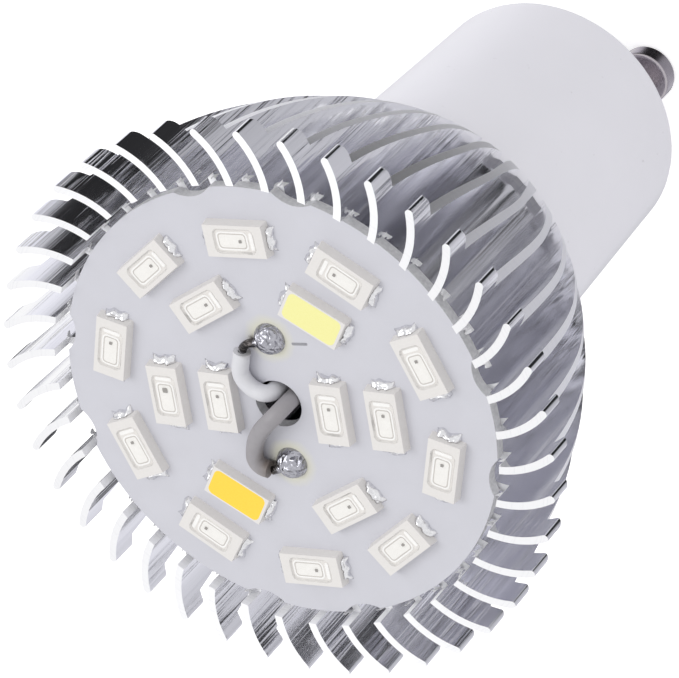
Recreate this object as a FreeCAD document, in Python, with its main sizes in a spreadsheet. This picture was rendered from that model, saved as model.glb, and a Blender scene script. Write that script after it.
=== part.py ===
import FreeCAD, Part
import Sketcher
import math
import os

# Grow light bulb: a turned, spiral-finned aluminium cup with an LED board in its mouth, on a white
# two-pin twist-lock cap.  The lamp's axis is Z.  The light leaves along +Z and the cap's pins point
# down.  The origin is the centre of the pin circle, in the plane of the pins' ends, and the X axis
# runs through both pins.  All sizes are in millimetres and degrees.

doc = FreeCAD.newDocument("GrowLightBulb")
sheet = doc.addObject("Spreadsheet::Sheet", "Sizes")

DRIVING = [
    # Twin-pin cap
    ("pin_pitch", 10.0, "centre to centre of the two pins"),
    ("pin_head_radius", 2.5, "head that the lamp holder grips"),
    ("pin_head_length", 1.8, "along the axis"),
    ("pin_head_round", 0.3, "edge of the head"),
    ("pin_neck_radius", 1.5, "shank through the cap"),
    ("pin_length", 7.0, "from the cap's boss to the pin's end"),
    ("pin_flange_radius", 2.2, "riveted collar inside the cap"),
    ("pin_flange_length", 0.6, "along the axis"),
    ("pin_tag_radius", 0.8, "solder tag inside the cap"),
    ("pin_tag_length", 1.6, "along the axis"),
    ("pin_clearance", 0.02, "pin in its hole in the cap"),
    # White moulded housing
    ("boss_radius", 8.8, "round boss that carries the pins"),
    ("boss_height", 2.9, "boss above the barrel's end"),
    ("boss_round", 0.5, "edge of the boss"),
    ("barrel_length", 24.5, "visible length of the white barrel"),
    ("barrel_end_radius", 11.55, "at the pins' end"),
    ("barrel_top_radius", 12.35, "against the heat sink"),
    ("barrel_round", 0.6, "edge at the pins' end"),
    ("cavity_radius", 9.0, "inside of the housing"),
    ("cap_floor", 3.7, "floor between the pins and the driver"),
    ("sleeve_wall", 1.3, "sleeve inside the heat sink"),
    ("sleeve_clearance", 0.1, "sleeve in the heat sink's bore"),
    ("post_radius", 2.3, "screw posts in the sleeve"),
    ("post_length", 5.6, "along the axis"),
    ("pilot_clearance", 0.02, "screw thread in its post"),
    ("guide_reach", 1.4, "guides stand in from the wall"),
    ("guide_thickness", 0.8, "each guide"),
    # Finned heat sink, extruded and then turned
    ("sink_length", 27.1, "cap end to the fins' front"),
    ("core_radius", 11.8, "solid middle of the extrusion"),
    ("fin_count", 40, "fins round the core"),
    ("fin_tip_radius", 24.4, "outside of the extrusion, left on the flange"),
    ("fin_tip_thickness", 0.66, "curved part of a fin"),
    ("fin_root_thickness", 1.25, "where a fin leaves the core"),
    ("fin_root_sink", 1.0, "fin section runs on into the core"),
    ("fin_offset", 1.92, "straight part of a fin beside the axis"),
    ("fin_curl_reach", 5.5, "from the bend's start to the outside"),
    ("fin_bend_radius", 7.85, "middle line of the bend"),
    ("fin_turn", -0.8, "direction of the first fin"),
    ("flange_length", 2.7, "tab at the front of each fin"),
    ("flange_round", 0.7, "rear corner of the tab"),
    ("profile_turn", 3.3, "plane that the bell's profile is drawn in, past the fins' noses"),
    ("tab_step", 1.3, "bell behind the tabs, in from the outside"),
    ("bell_end_radius", 13.0, "at the cap end"),
    ("bell_arc_radius", 49.0, "turned curve of the bell"),
    ("turning_stock", 3.0, "cutter path outside the fins"),
    ("nose_clearance", 0.05, "cutter path round the tabs"),
    ("recess_clearance", 0.65, "recess round the board"),
    ("web_thickness", 5.0, "metal between the recess and the bore"),
    ("wire_hole_radius", 2.5, "through the web"),
    ("screw_spacing", 14.0, "centre to centre of the fixing screws"),
    ("screw_radius", 1.2, "thread of a fixing screw"),
    ("screw_head_radius", 2.3, "countersunk head"),
    ("screw_head_depth", 1.2, "cone under the head"),
    ("screw_length", 9.6, "overall"),
    ("screw_hole_clearance", 0.2, "round the thread in the web"),
    ("screw_seat_clearance", 0.03, "between a head and its countersink"),
    ("screw_slot", 0.6, "width of the cross recess"),
    # LED board
    ("board_radius", 19.0, "aluminium-backed disc"),
    ("board_thickness", 1.0, "disc"),
    ("board_drop", 1.1, "board's face below the fins' front"),
    ("board_turn", -6.7, "row of lamps against the pins"),
    ("board_hole_radius", 2.05, "wire hole in the middle"),
    ("paste_thickness", 0.1, "heat paste under the board"),
    ("paste_radius", 17.5, "spread of the paste"),
    ("scoop_radius", 2.8, "scoops in the rim, where the disc was held in its panel"),
    ("scoop_depth", 0.65, "depth of a scoop"),
    ("scoop_spread", 13.5, "scoop either side of its pair's middle"),
    # LED packages
    ("outer_ring_radius", 14.7, "ring of ten"),
    ("outer_ring_turn", -15.0, "first lamp of the ring of ten"),
    ("inner_ring_radius", 9.8, "ring of six"),
    ("centre_pair_radius", 5.0, "pair beside the wire hole"),
    ("led_length", 5.5, "package"),
    ("led_width", 3.0, "package"),
    ("led_height", 0.9, "package"),
    ("led_draft", 8.0, "slope of the sides"),
    ("led_corner", 0.15, "corner radius of the package"),
    ("clear_cup_length", 3.7, "mouth of the reflector cup, clear lamps"),
    ("clear_cup_width", 2.15, "mouth"),
    ("phosphor_cup_length", 4.8, "mouth of the reflector cup, phosphor lamps"),
    ("phosphor_cup_width", 2.5, "mouth"),
    ("cup_corner", 0.5, "corner radius of the mouth"),
    ("cup_depth", 0.3, "cup"),
    ("cup_slope", 45.0, "slope of the cup's wall"),
    ("terminal_reach", 0.6, "tinned terminal beyond the package"),
    ("terminal_width", 2.0, "terminal"),
    ("terminal_height", 0.5, "solder against the package"),
    ("terminal_lip", 0.15, "solder at its thin edge"),
    # Solder joints and leads
    ("upper_joint_out", 5.85, "solder joint a from the board's middle"),
    ("lower_joint_out", 5.3, "solder joint b from the board's middle"),
    ("joints_aside", 0.28, "both joints beside the middle line"),
    ("joint_radius", 1.35, "foot of a solder dome"),
    ("joint_height", 1.15, "dome"),
    ("strand_radius", 0.35, "tinned strands into the joint"),
    ("lead_radius", 0.7, "insulated lead to the board"),
    ("supply_lead_spread", 2.9, "supply lead beside the middle of the driver board"),
    ("supply_lead_lap", 3.5, "supply lead along the driver board"),
    ("mains_lead_radius", 0.55, "insulated lead from a pin"),
    ("mains_lead_rise", 1.4, "mains lead straight up from the tag"),
    ("mains_lead_step", 2.0, "mains lead leaning over to the driver board"),
    ("mains_lead_aside", 0.8, "mains lead outside its pin"),
    ("mains_lead_lap", 1.8, "mains lead along the driver board"),
    # Driver
    ("driver_width", 16.4, "driver board"),
    ("driver_thickness", 1.2, "driver board"),
    ("driver_start", 6.5, "lower edge above the pins' boss"),
    ("driver_length", 32.5, "driver board"),
    ("driver_face", -1.4, "component side of the driver board, from the axis"),
    ("guide_clearance", 0.1, "driver board in its guides"),
    ("bulk_can_radius", 4.0, "mains capacitor"),
    ("bulk_can_length", 11.5, "mains capacitor"),
    ("output_can_radius", 3.15, "output capacitor"),
    ("output_can_length", 7.0, "output capacitor"),
    ("can_bead_depth", 0.25, "rolled bead near a can's end"),
    ("part_clearance", 0.05, "solder film under the driver's parts"),
    ("core_width", 9.4, "transformer ferrite"),
    ("core_depth", 4.4, "transformer ferrite"),
    ("core_length", 8.2, "transformer ferrite"),
    ("core_limb", 1.6, "outer limb of the ferrite"),
    ("coil_radius", 2.9, "winding on the middle limb"),
    ("centre_limb_radius", 1.3, "middle limb of the ferrite"),
    ("bobbin_wall", 0.45, "flanges and tube of the bobbin"),
    ("bobbin_stand", 1.6, "bobbin's base under the ferrite"),
    ("resistor_radius", 1.25, "fusible resistor"),
    ("resistor_length", 6.0, "fusible resistor"),
    ("chip_length", 4.8, "rectifier and control chip"),
    ("chip_width", 3.8, "rectifier and control chip"),
    ("chip_height", 1.5, "rectifier and control chip"),
    ("chip_leg", 0.9, "legs beyond the chip"),
    ("chip_leg_width", 0.5, "leg"),
    ("chip_leg_thickness", 0.3, "leg"),
]

size = {}
for row, (alias, number, note) in enumerate(DRIVING, start=1):
    sheet.set("A%d" % row, note)
    sheet.set("B%d" % row, str(number))
    sheet.setAlias("B%d" % row, alias)
doc.recompute()
for alias, number, note in DRIVING:
    size[alias] = float(sheet.get(alias))

# Levels along the axis, counted up from the pins' ends.
BOSS = "Sizes.pin_length"
SHOULDER = BOSS + " + Sizes.boss_height"
SINK_BACK = SHOULDER + " + Sizes.barrel_length"
FRONT = SINK_BACK + " + Sizes.sink_length"
BOARD_TOP = FRONT + " - Sizes.board_drop"
BOARD_BACK = BOARD_TOP + " - Sizes.board_thickness"
FLOOR = BOARD_BACK + " - Sizes.paste_thickness"
WEB_BACK = FLOOR + " - Sizes.web_thickness"
CAVITY_FLOOR = BOSS + " + Sizes.cap_floor"
BORE = "Sizes.cavity_radius + Sizes.sleeve_wall + Sizes.sleeve_clearance"
DRIVER_START = BOSS + " + Sizes.driver_start"


def value(text):
    """A number worked out from the sheet."""
    return float(sheet.evalExpression(text))


def new_body(label):
    body = doc.addObject("PartDesign::Body", label)
    body.Label = label
    return body


def origin_feature(body, role):
    return next(item for item in body.Origin.OriginFeatures if item.Role == role)


def new_sketch(body, name, role, height=None, across=None):
    """A sketch on one of the body's own planes, raised by height and moved sideways by across."""
    sketch = body.newObject("Sketcher::SketchObject", name)
    sketch.AttachmentSupport = [(origin_feature(body, role), "")]
    sketch.MapMode = "FlatFace"
    if height is not None:
        sketch.setExpression("AttachmentOffset.Base.z", height)
    if across is not None:
        sketch.setExpression("AttachmentOffset.Base.x", across)
    return sketch


def outline(sketch, steps):
    """Draws a closed loop.  A step is (x, y), or (x, y, radius, turn) where an arc leads on from it."""
    points = [FreeCAD.Vector(value(step[0]), value(step[1]), 0) for step in steps]
    ends = []
    radii = []
    for index, step in enumerate(steps):
        start = points[index]
        end = points[(index + 1) % len(points)]
        if len(step) == 2:
            number = sketch.addGeometry(Part.LineSegment(start, end), False)
            ends.append((number, 1, 2))
            continue
        radius = value(step[2])
        chord = end - start
        side = 1 if step[3] == "left" else -1
        across = FreeCAD.Vector(-chord.y, chord.x, 0).normalize() * side
        centre = start + chord * 0.5 + across * math.sqrt(max(radius ** 2 - chord.Length ** 2 / 4, 0))
        first, last = (start, end) if side > 0 else (end, start)
        first_angle = math.atan2(first.y - centre.y, first.x - centre.x)
        last_angle = math.atan2(last.y - centre.y, last.x - centre.x)
        circle = Part.Circle(centre, FreeCAD.Vector(0, 0, 1), radius)
        number = sketch.addGeometry(Part.ArcOfCircle(circle, first_angle, last_angle), False)
        ends.append((number, 1, 2) if side > 0 else (number, 2, 1))
        radii.append((number, radius, step[2]))
    for index, (number, start, end) in enumerate(ends):
        follower, its_start, its_end = ends[(index + 1) % len(ends)]
        sketch.addConstraint(Sketcher.Constraint("Coincident", number, end, follower, its_start))
    for (number, start, end), step, point in zip(ends, steps, points):
        across_by, along_by = (-2, "DistanceX", point.x, step[0]), (-1, "DistanceY", point.y, step[1])
        for axis, kind, place, text in (across_by, along_by):
            if text == "0":
                sketch.addConstraint(Sketcher.Constraint("PointOnObject", number, start, axis))
            else:
                index = sketch.addConstraint(Sketcher.Constraint(kind, -1, 1, number, start, place))
                sketch.setExpression("Constraints[%d]" % index, text)
    for number, radius, text in radii:
        index = sketch.addConstraint(Sketcher.Constraint("Radius", number, radius))
        sketch.setExpression("Constraints[%d]" % index, text)


def circle(sketch, x, y, radius):
    """Draws a full circle."""
    centre = FreeCAD.Vector(value(x), value(y), 0)
    shape = Part.Circle(centre, FreeCAD.Vector(0, 0, 1), value(radius))
    number = sketch.addGeometry(shape, False)
    for axis, kind, place, text in ((-2, "DistanceX", centre.x, x), (-1, "DistanceY", centre.y, y)):
        if text == "0":
            sketch.addConstraint(Sketcher.Constraint("PointOnObject", number, 3, axis))
        else:
            index = sketch.addConstraint(Sketcher.Constraint(kind, -1, 1, number, 3, place))
            sketch.setExpression("Constraints[%d]" % index, text)
    index = sketch.addConstraint(Sketcher.Constraint("Radius", number, value(radius)))
    sketch.setExpression("Constraints[%d]" % index, radius)


def rounded_rectangle(sketch, half_length, half_width, corner):
    """Draws a centred rectangle with round corners, anticlockwise from its right side."""
    inner_x = "(%s) - (%s)" % (half_length, corner)
    inner_y = "(%s) - (%s)" % (half_width, corner)
    outline(sketch, [
        (half_length, "-(%s)" % inner_y),
        (half_length, inner_y, corner, "left"),
        (inner_x, half_width),
        ("-(%s)" % inner_x, half_width, corner, "left"),
        ("-(%s)" % half_length, inner_y),
        ("-(%s)" % half_length, "-(%s)" % inner_y, corner, "left"),
        ("-(%s)" % inner_x, "-(%s)" % half_width),
        (inner_x, "-(%s)" % half_width, corner, "left"),
    ])


def pad(body, name, sketch, length, taper=None):
    feature = body.newObject("PartDesign::Pad", name)
    feature.Profile = sketch
    feature.setExpression("Length", length)
    if taper is not None:
        feature.setExpression("TaperAngle", taper)
    return feature


def pocket(body, name, sketch, length, upward=False, taper=None):
    feature = body.newObject("PartDesign::Pocket", name)
    feature.Profile = sketch
    feature.setExpression("Length", length)
    feature.Reversed = upward
    if taper is not None:
        feature.setExpression("TaperAngle", taper)
    return feature


def turned(body, name, sketch, kind):
    """A full turn about the sketch's upright axis: Revolution adds, Groove cuts."""
    feature = body.newObject("PartDesign::" + kind, name)
    feature.Profile = sketch
    feature.ReferenceAxis = (sketch, ["V_Axis"])
    feature.Angle = 360
    return feature


def around(body, name, original, count, angle=360):
    """Repeats a feature round the lamp's axis."""
    feature = body.newObject("PartDesign::PolarPattern", name)
    feature.Originals = [original]
    feature.Axis = (origin_feature(body, "Z_Axis"), [""])
    feature.Angle = angle
    feature.setExpression("Occurrences", count)
    body.Tip = feature
    return feature


def make_heat_sink():
    """One length of finned extrusion, faced, turned to a bell and bored at both ends."""
    body = new_body("heat_sink")
    section = new_sketch(body, "core_section", "XY_Plane", SINK_BACK)
    circle(section, "0", "0", "Sizes.core_radius")
    pad(body, "core", section, "Sizes.sink_length")

    # A fin leaves the core almost radially, thins outwards and then curls to a round nose, which
    # just touches the outside of the extrusion.
    fin = new_sketch(body, "fin_section", "XY_Plane", SINK_BACK)
    fin.setExpression("AttachmentOffset.Rotation.Angle", "Sizes.fin_turn")
    root = "Sizes.core_radius - Sizes.fin_root_sink"
    thin = "Sizes.fin_tip_thickness / 2"
    thick = "Sizes.fin_root_thickness / 2"
    bend = "Sizes.fin_bend_radius"
    inner = "(Sizes.fin_bend_radius - %s)" % thin
    outer = "(Sizes.fin_bend_radius + %s)" % thin
    start = "(Sizes.fin_tip_radius - Sizes.fin_curl_reach)"
    middle = "(Sizes.fin_bend_radius - Sizes.fin_offset)"
    away = "(%s ^ 2 + %s ^ 2)" % (start, middle)
    nose = "((Sizes.fin_tip_radius - %s) ^ 2 - %s - %s ^ 2)" % (thin, away, bend)
    sweep = "(atan(%s / %s) + asin(%s / (2 * %s * sqrt(%s))))" % (middle, start, nose, bend, away)
    outline(fin, [
        (root, "-Sizes.fin_offset - %s" % thick),
        (start, "-Sizes.fin_offset - %s" % thin, outer, "left"),
        ("%s + %s * sin(%s)" % (start, outer, sweep), "%s - %s * cos(%s)" % (middle, outer, sweep),
         thin, "left"),
        ("%s + %s * sin(%s) + %s * cos(%s)" % (start, bend, sweep, thin, sweep),
         "%s - %s * cos(%s) + %s * sin(%s)" % (middle, bend, sweep, thin, sweep), thin, "left"),
        ("%s + %s * sin(%s)" % (start, inner, sweep), "%s - %s * cos(%s)" % (middle, inner, sweep),
         inner, "right"),
        (start, "-Sizes.fin_offset + %s" % thin),
        (root, "-Sizes.fin_offset + %s" % thick),
    ])
    first_fin = pad(body, "first_fin", fin, "Sizes.sink_length")
    around(body, "fins", first_fin, "Sizes.fin_count")

    # The outside is turned: a tab left on every fin as it was extruded, then one long curve.
    tab_back = "%s - Sizes.flange_length" % FRONT
    tab_side = "Sizes.fin_tip_radius + Sizes.nose_clearance"
    beyond = "Sizes.fin_tip_radius + Sizes.turning_stock"
    bell = new_sketch(body, "bell_profile", "XZ_Plane")
    upright = FreeCAD.Rotation(FreeCAD.Vector(0, 1, 0), 1)
    bell.AttachmentOffset = FreeCAD.Placement(FreeCAD.Vector(0, 0, 0), upright)
    bell.setExpression("AttachmentOffset.Rotation.Angle", "Sizes.profile_turn")
    outline(bell, [
        (tab_side, "%s + Sizes.turning_stock" % FRONT),
        (tab_side, "%s + Sizes.flange_round" % tab_back, "Sizes.flange_round", "right"),
        (tab_side + " - Sizes.flange_round", tab_back),
        ("Sizes.fin_tip_radius - Sizes.tab_step", tab_back, "Sizes.bell_arc_radius", "right"),
        ("Sizes.bell_end_radius", SINK_BACK),
        ("Sizes.bell_end_radius", "%s - Sizes.turning_stock" % SINK_BACK),
        (beyond, "%s - Sizes.turning_stock" % SINK_BACK),
        (beyond, "%s + Sizes.turning_stock" % FRONT),
    ])
    turned(body, "bell_turning", bell, "Groove")

    # The front is bored for the board, whose rim leaves a narrow shelf of the floor to be seen.
    recess = new_sketch(body, "recess_profile", "XZ_Plane")
    outline(recess, [
        ("0", "%s + Sizes.turning_stock" % FRONT),
        ("0", FLOOR),
        ("Sizes.board_radius + Sizes.recess_clearance", FLOOR),
        ("Sizes.board_radius + Sizes.recess_clearance", "%s + Sizes.turning_stock" % FRONT),
    ])
    turned(body, "recess", recess, "Groove")

    bore = new_sketch(body, "bore_section", "XY_Plane", SINK_BACK)
    circle(bore, "0", "0", BORE)
    pocket(body, "driver_bore", bore, "%s - (%s)" % (WEB_BACK, SINK_BACK), upward=True)

    wire = new_sketch(body, "wire_hole_section", "XY_Plane", FLOOR)
    circle(wire, "0", "0", "Sizes.wire_hole_radius")
    pocket(body, "wire_hole", wire, "Sizes.web_thickness")

    seat = new_sketch(body, "screw_hole_profile", "XZ_Plane", across="Sizes.screw_spacing / 2")
    mouth = "Sizes.screw_head_radius + Sizes.screw_seat_clearance"
    shank = "Sizes.screw_radius + Sizes.screw_hole_clearance"
    outline(seat, [
        ("0", "%s + Sizes.screw_seat_clearance" % FLOOR),
        ("0", "%s - Sizes.screw_seat_clearance" % WEB_BACK),
        (shank, "%s - Sizes.screw_seat_clearance" % WEB_BACK),
        (shank, "%s - Sizes.screw_head_depth - Sizes.screw_seat_clearance" % FLOOR),
        (mouth, "%s - Sizes.screw_seat_clearance" % FLOOR),
        (mouth, "%s + Sizes.screw_seat_clearance" % FLOOR),
    ])
    hole = turned(body, "screw_hole", seat, "Groove")
    around(body, "screw_holes", hole, "2")
    return body


def make_led_board():
    """A white aluminium-backed disc with a wire hole and pairs of scoops round its rim."""
    body = new_body("led_board")
    body.Placement.Rotation = FreeCAD.Rotation(FreeCAD.Vector(0, 0, 1), 1)
    body.setExpression("Placement.Rotation.Angle", "Sizes.board_turn")
    disc = new_sketch(body, "disc_section", "XY_Plane", BOARD_BACK)
    circle(disc, "0", "0", "Sizes.board_radius")
    circle(disc, "0", "0", "Sizes.board_hole_radius")
    pad(body, "disc", disc, "Sizes.board_thickness")
    pair = new_sketch(body, "scoop_pair", "XY_Plane", BOARD_TOP)
    out = "(Sizes.board_radius + Sizes.scoop_radius - Sizes.scoop_depth)"
    for sign in ("-", ""):
        circle(pair, "%s%s * sin(Sizes.scoop_spread)" % (sign, out),
               "-%s * cos(Sizes.scoop_spread)" % out, "Sizes.scoop_radius")
    scoops = pocket(body, "first_scoops", pair, "Sizes.board_thickness")
    around(body, "scoops", scoops, "4")
    return body


def make_thermal_paste():
    body = new_body("thermal_paste")
    film = new_sketch(body, "film_section", "XY_Plane", FLOOR)
    circle(film, "0", "0", "Sizes.paste_radius")
    circle(film, "0", "0", "Sizes.wire_hole_radius")
    pad(body, "film", film, "Sizes.paste_thickness")
    return body


def place_lamp(item, ring, angle):
    """Stands an item on the board, square to the radius at an angle from the row of lamps."""
    direction = "(Sizes.board_turn + %s)" % angle
    item.Placement.Rotation = FreeCAD.Rotation(FreeCAD.Vector(0, 0, 1), 1)
    item.setExpression("Placement.Base.x", "Sizes.%s * cos(%s)" % (ring, direction))
    item.setExpression("Placement.Base.y", "Sizes.%s * sin(%s)" % (ring, direction))
    item.setExpression("Placement.Base.z", BOARD_TOP)
    item.setExpression("Placement.Rotation.Angle", "%s + 90" % direction)


def make_led(number, ring, angle, kind):
    """One surface-mounted lamp: a moulded package with a reflector cup, and the resin that fills it."""
    half_length = "Sizes.led_length / 2"
    half_width = "Sizes.led_width / 2"
    cup_length = "Sizes.%s_cup_length / 2" % kind
    cup_width = "Sizes.%s_cup_width / 2" % kind
    package = new_body("led_%02d" % number)
    foot = new_sketch(package, "package_foot_%02d" % number, "XY_Plane")
    rounded_rectangle(foot, half_length, half_width, "Sizes.led_corner")
    pad(package, "package_%02d" % number, foot, "Sizes.led_height", "-Sizes.led_draft")
    mouth = new_sketch(package, "cup_mouth_%02d" % number, "XY_Plane", "Sizes.led_height")
    rounded_rectangle(mouth, cup_length, cup_width, "Sizes.cup_corner")
    pocket(package, "cup_%02d" % number, mouth, "Sizes.cup_depth", taper="-Sizes.cup_slope")
    place_lamp(package, ring, angle)

    resin = new_body("encapsulant_%02d" % number)
    face = new_sketch(resin, "resin_face_%02d" % number, "XY_Plane", "Sizes.led_height")
    rounded_rectangle(face, cup_length, cup_width, "Sizes.cup_corner")
    fill = pad(resin, "resin_%02d" % number, face, "Sizes.cup_depth", "-Sizes.cup_slope")
    fill.Reversed = True
    place_lamp(resin, ring, angle)
    return [package, resin]


def make_terminal(number, side, ring, angle):
    """The tinned terminal and its solder at one end of a lamp, thinning away from the package."""
    end = doc.addObject("Part::Wedge", "terminal_%02d_%s" % (number, side))
    sign = 1 if side == "a" else -1
    for name in ("Xmin", "X2min"):
        end.setExpression(name, "-Sizes.terminal_width / 2")
    for name in ("Xmax", "X2max"):
        end.setExpression(name, "Sizes.terminal_width / 2")
    end.Ymin = 0
    end.setExpression("Ymax", "Sizes.terminal_reach")
    end.Zmin = 0
    end.Z2min = 0
    end.setExpression("Zmax", "Sizes.terminal_height")
    end.setExpression("Z2max", "Sizes.terminal_lip")
    direction = "(Sizes.board_turn + %s)" % angle
    along = "(%d * Sizes.led_length / 2)" % sign
    end.Placement.Rotation = FreeCAD.Rotation(FreeCAD.Vector(0, 0, 1), 1)
    end.setExpression("Placement.Base.x",
                      "Sizes.%s * cos(%s) - %s * sin(%s)" % (ring, direction, along, direction))
    end.setExpression("Placement.Base.y",
                      "Sizes.%s * sin(%s) + %s * cos(%s)" % (ring, direction, along, direction))
    end.setExpression("Placement.Base.z", BOARD_TOP)
    end.setExpression("Placement.Rotation.Angle", "%s + %d" % (direction, 0 if sign > 0 else 180))
    return end


def make_lamps():
    """Ten lamps round the rim, six on the inner ring and two beside the wire hole."""
    places = [("outer_ring_radius", "Sizes.outer_ring_turn + %d" % (36 * step)) for step in range(10)]
    places += [("inner_ring_radius", str(60 * step)) for step in range(6)]
    places += [("centre_pair_radius", str(180 * step)) for step in range(2)]
    # The two lamps of the inner ring next to the solder joints have phosphor over the whole face.
    phosphor_angles = ("60", "240")
    lamps = []
    terminals = []
    for number, (ring, angle) in enumerate(places, start=1):
        with_phosphor = ring == "inner_ring_radius" and angle in phosphor_angles
        lamps += make_led(number, ring, angle, "phosphor" if with_phosphor else "clear")
        terminals += [make_terminal(number, side, ring, angle) for side in ("a", "b")]
    group = doc.addObject("Part::Compound", "led_terminals")
    group.Label = "led_terminals"
    group.Links = terminals
    return lamps + [group]


def make_housing():
    """The white moulding: a barrel with a floor for the pins and a sleeve that enters the heat sink."""
    body = new_body("base_housing")
    sleeve = "Sizes.cavity_radius + Sizes.sleeve_wall"
    profile = new_sketch(body, "housing_profile", "XZ_Plane")
    outline(profile, [
        ("0", BOSS),
        ("Sizes.boss_radius - Sizes.boss_round", BOSS, "Sizes.boss_round", "left"),
        ("Sizes.boss_radius", "%s + Sizes.boss_round" % BOSS),
        ("Sizes.boss_radius", SHOULDER),
        ("Sizes.barrel_end_radius - Sizes.barrel_round", SHOULDER, "Sizes.barrel_round", "left"),
        ("Sizes.barrel_end_radius", "%s + Sizes.barrel_round" % SHOULDER),
        ("Sizes.barrel_top_radius", SINK_BACK),
        (sleeve, SINK_BACK),
        (sleeve, WEB_BACK),
        ("Sizes.cavity_radius", WEB_BACK),
        ("Sizes.cavity_radius", CAVITY_FLOOR),
        ("0", CAVITY_FLOOR),
    ])
    turned(body, "shell", profile, "Revolution")

    hole = new_sketch(body, "pin_hole_section", "XY_Plane", BOSS)
    circle(hole, "Sizes.pin_pitch / 2", "0", "Sizes.pin_neck_radius + Sizes.pin_clearance")
    first_hole = pocket(body, "pin_hole", hole, "Sizes.cap_floor", upward=True)
    around(body, "pin_holes", first_hole, "2")

    # Guides hold the driver board's two edges.
    guides = new_sketch(body, "guide_section", "XY_Plane", CAVITY_FLOOR)
    wall_side = "Sizes.cavity_radius"
    free_side = "Sizes.driver_width / 2 - Sizes.guide_reach / 2"
    face = "Sizes.driver_face + Sizes.guide_clearance"
    back = "Sizes.driver_face - Sizes.driver_thickness - Sizes.guide_clearance"
    for sign in ("", "-"):
        for low, high in ((face, "%s + Sizes.guide_thickness" % face),
                          ("%s - Sizes.guide_thickness" % back, back)):
            near, far = "%s(%s)" % (sign, free_side), "%s(%s)" % (sign, wall_side)
            outline(guides, [(near, low), (far, low), (far, high), (near, high)])
    pad(body, "guides", guides, "%s + Sizes.driver_length - (%s)" % (DRIVER_START, CAVITY_FLOOR))

    post = new_sketch(body, "post_section", "XY_Plane", "%s - Sizes.post_length" % WEB_BACK)
    circle(post, "Sizes.screw_spacing / 2", "0", "Sizes.post_radius")
    first_post = pad(body, "post", post, "Sizes.post_length")
    around(body, "posts", first_post, "2")
    pilot = new_sketch(body, "pilot_section", "XY_Plane", WEB_BACK)
    circle(pilot, "Sizes.screw_spacing / 2", "0", "Sizes.screw_radius + Sizes.pilot_clearance")
    first_pilot = pocket(body, "pilot", pilot, "Sizes.post_length")
    around(body, "pilots", first_pilot, "2")
    return body


def make_pin(label, side):
    """A turned brass contact pin with a mushroom head, riveted through the cap's floor."""
    body = new_body(label)
    axis = "%s * Sizes.pin_pitch / 2" % side
    profile = new_sketch(body, label + "_profile", "XZ_Plane", across=axis)
    flange = "%s + Sizes.pin_flange_length" % CAVITY_FLOOR
    outline(profile, [
        ("0", "0"),
        ("Sizes.pin_head_radius - Sizes.pin_head_round", "0", "Sizes.pin_head_round", "left"),
        ("Sizes.pin_head_radius", "Sizes.pin_head_round"),
        ("Sizes.pin_head_radius", "Sizes.pin_head_length - Sizes.pin_head_round",
         "Sizes.pin_head_round", "left"),
        ("Sizes.pin_head_radius - Sizes.pin_head_round", "Sizes.pin_head_length"),
        ("Sizes.pin_neck_radius", "Sizes.pin_head_length"),
        ("Sizes.pin_neck_radius", CAVITY_FLOOR),
        ("Sizes.pin_flange_radius", CAVITY_FLOOR),
        ("Sizes.pin_flange_radius", flange),
        ("Sizes.pin_tag_radius", flange),
        ("Sizes.pin_tag_radius", "%s + Sizes.pin_tag_length" % flange),
        ("0", "%s + Sizes.pin_tag_length" % flange),
    ])
    turned(body, label + "_turning", profile, "Revolution")
    return body


def make_screw(side):
    """A countersunk self-tapping screw through the web into a post of the housing."""
    body = new_body("fixing_screw_%s" % ("a" if side > 0 else "b"))
    axis = "%d * Sizes.screw_spacing / 2" % side
    profile = new_sketch(body, "screw_profile", "XZ_Plane", across=axis)
    top = "%s - Sizes.screw_seat_clearance" % FLOOR
    tip = "%s - Sizes.screw_length" % top
    outline(profile, [
        ("0", tip),
        ("Sizes.screw_radius / 2", tip),
        ("Sizes.screw_radius", "%s + Sizes.screw_radius" % tip),
        ("Sizes.screw_radius", "%s - Sizes.screw_head_depth" % top),
        ("Sizes.screw_head_radius", top),
        ("0", top),
    ])
    turned(body, "screw_turning", profile, "Revolution")
    slot = new_sketch(body, "cross_recess", "XY_Plane", top, axis)
    arm = "Sizes.screw_head_radius * 0.6"
    half = "Sizes.screw_slot / 2"
    outline(slot, [
        (arm, "-(%s)" % half), (arm, half), (half, half), (half, arm),
        ("-(%s)" % half, arm), ("-(%s)" % half, half), ("-(%s)" % arm, half),
        ("-(%s)" % arm, "-(%s)" % half),
        ("-(%s)" % half, "-(%s)" % half), ("-(%s)" % half, "-(%s)" % arm),
        (half, "-(%s)" % arm), (half, "-(%s)" % half),
    ])
    pocket(body, "cross", slot, "Sizes.screw_slot")
    return body


def make_screws():
    screws = [make_screw(1), make_screw(-1)]
    group = doc.addObject("Part::Compound", "fixing_screws")
    group.Label = "fixing_screws"
    group.Links = screws
    return group


def route(points, radius):
    """Straight runs through the points, joined by arcs as large as the shorter run allows."""
    corners = [FreeCAD.Vector(*point) for point in points]
    edges = []
    start = corners[0]
    for before, corner, after in zip(corners, corners[1:], corners[2:]):
        inward = (before - corner).normalize()
        outward = (after - corner).normalize()
        reach = min((before - corner).Length * (0.95 if before is corners[0] else 0.48),
                    (after - corner).Length * (0.95 if after is corners[-1] else 0.48))
        half_turn = (math.pi - inward.getAngle(outward)) / 2
        bend = reach / math.tan(half_turn)
        if bend < 1.05 * radius:
            raise ValueError("a lead is bent too sharply: %.2f" % bend)
        bisector = (inward + outward).normalize()
        middle = corner + bisector * (bend / math.cos(half_turn) - bend)
        first = corner + inward * reach
        last = corner + outward * reach
        edges.append(Part.LineSegment(start, first).toShape())
        edges.append(Part.Arc(first, middle, last).toShape())
        start = last
    edges.append(Part.LineSegment(start, corners[-1]).toShape())
    return Part.Wire(edges)


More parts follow.
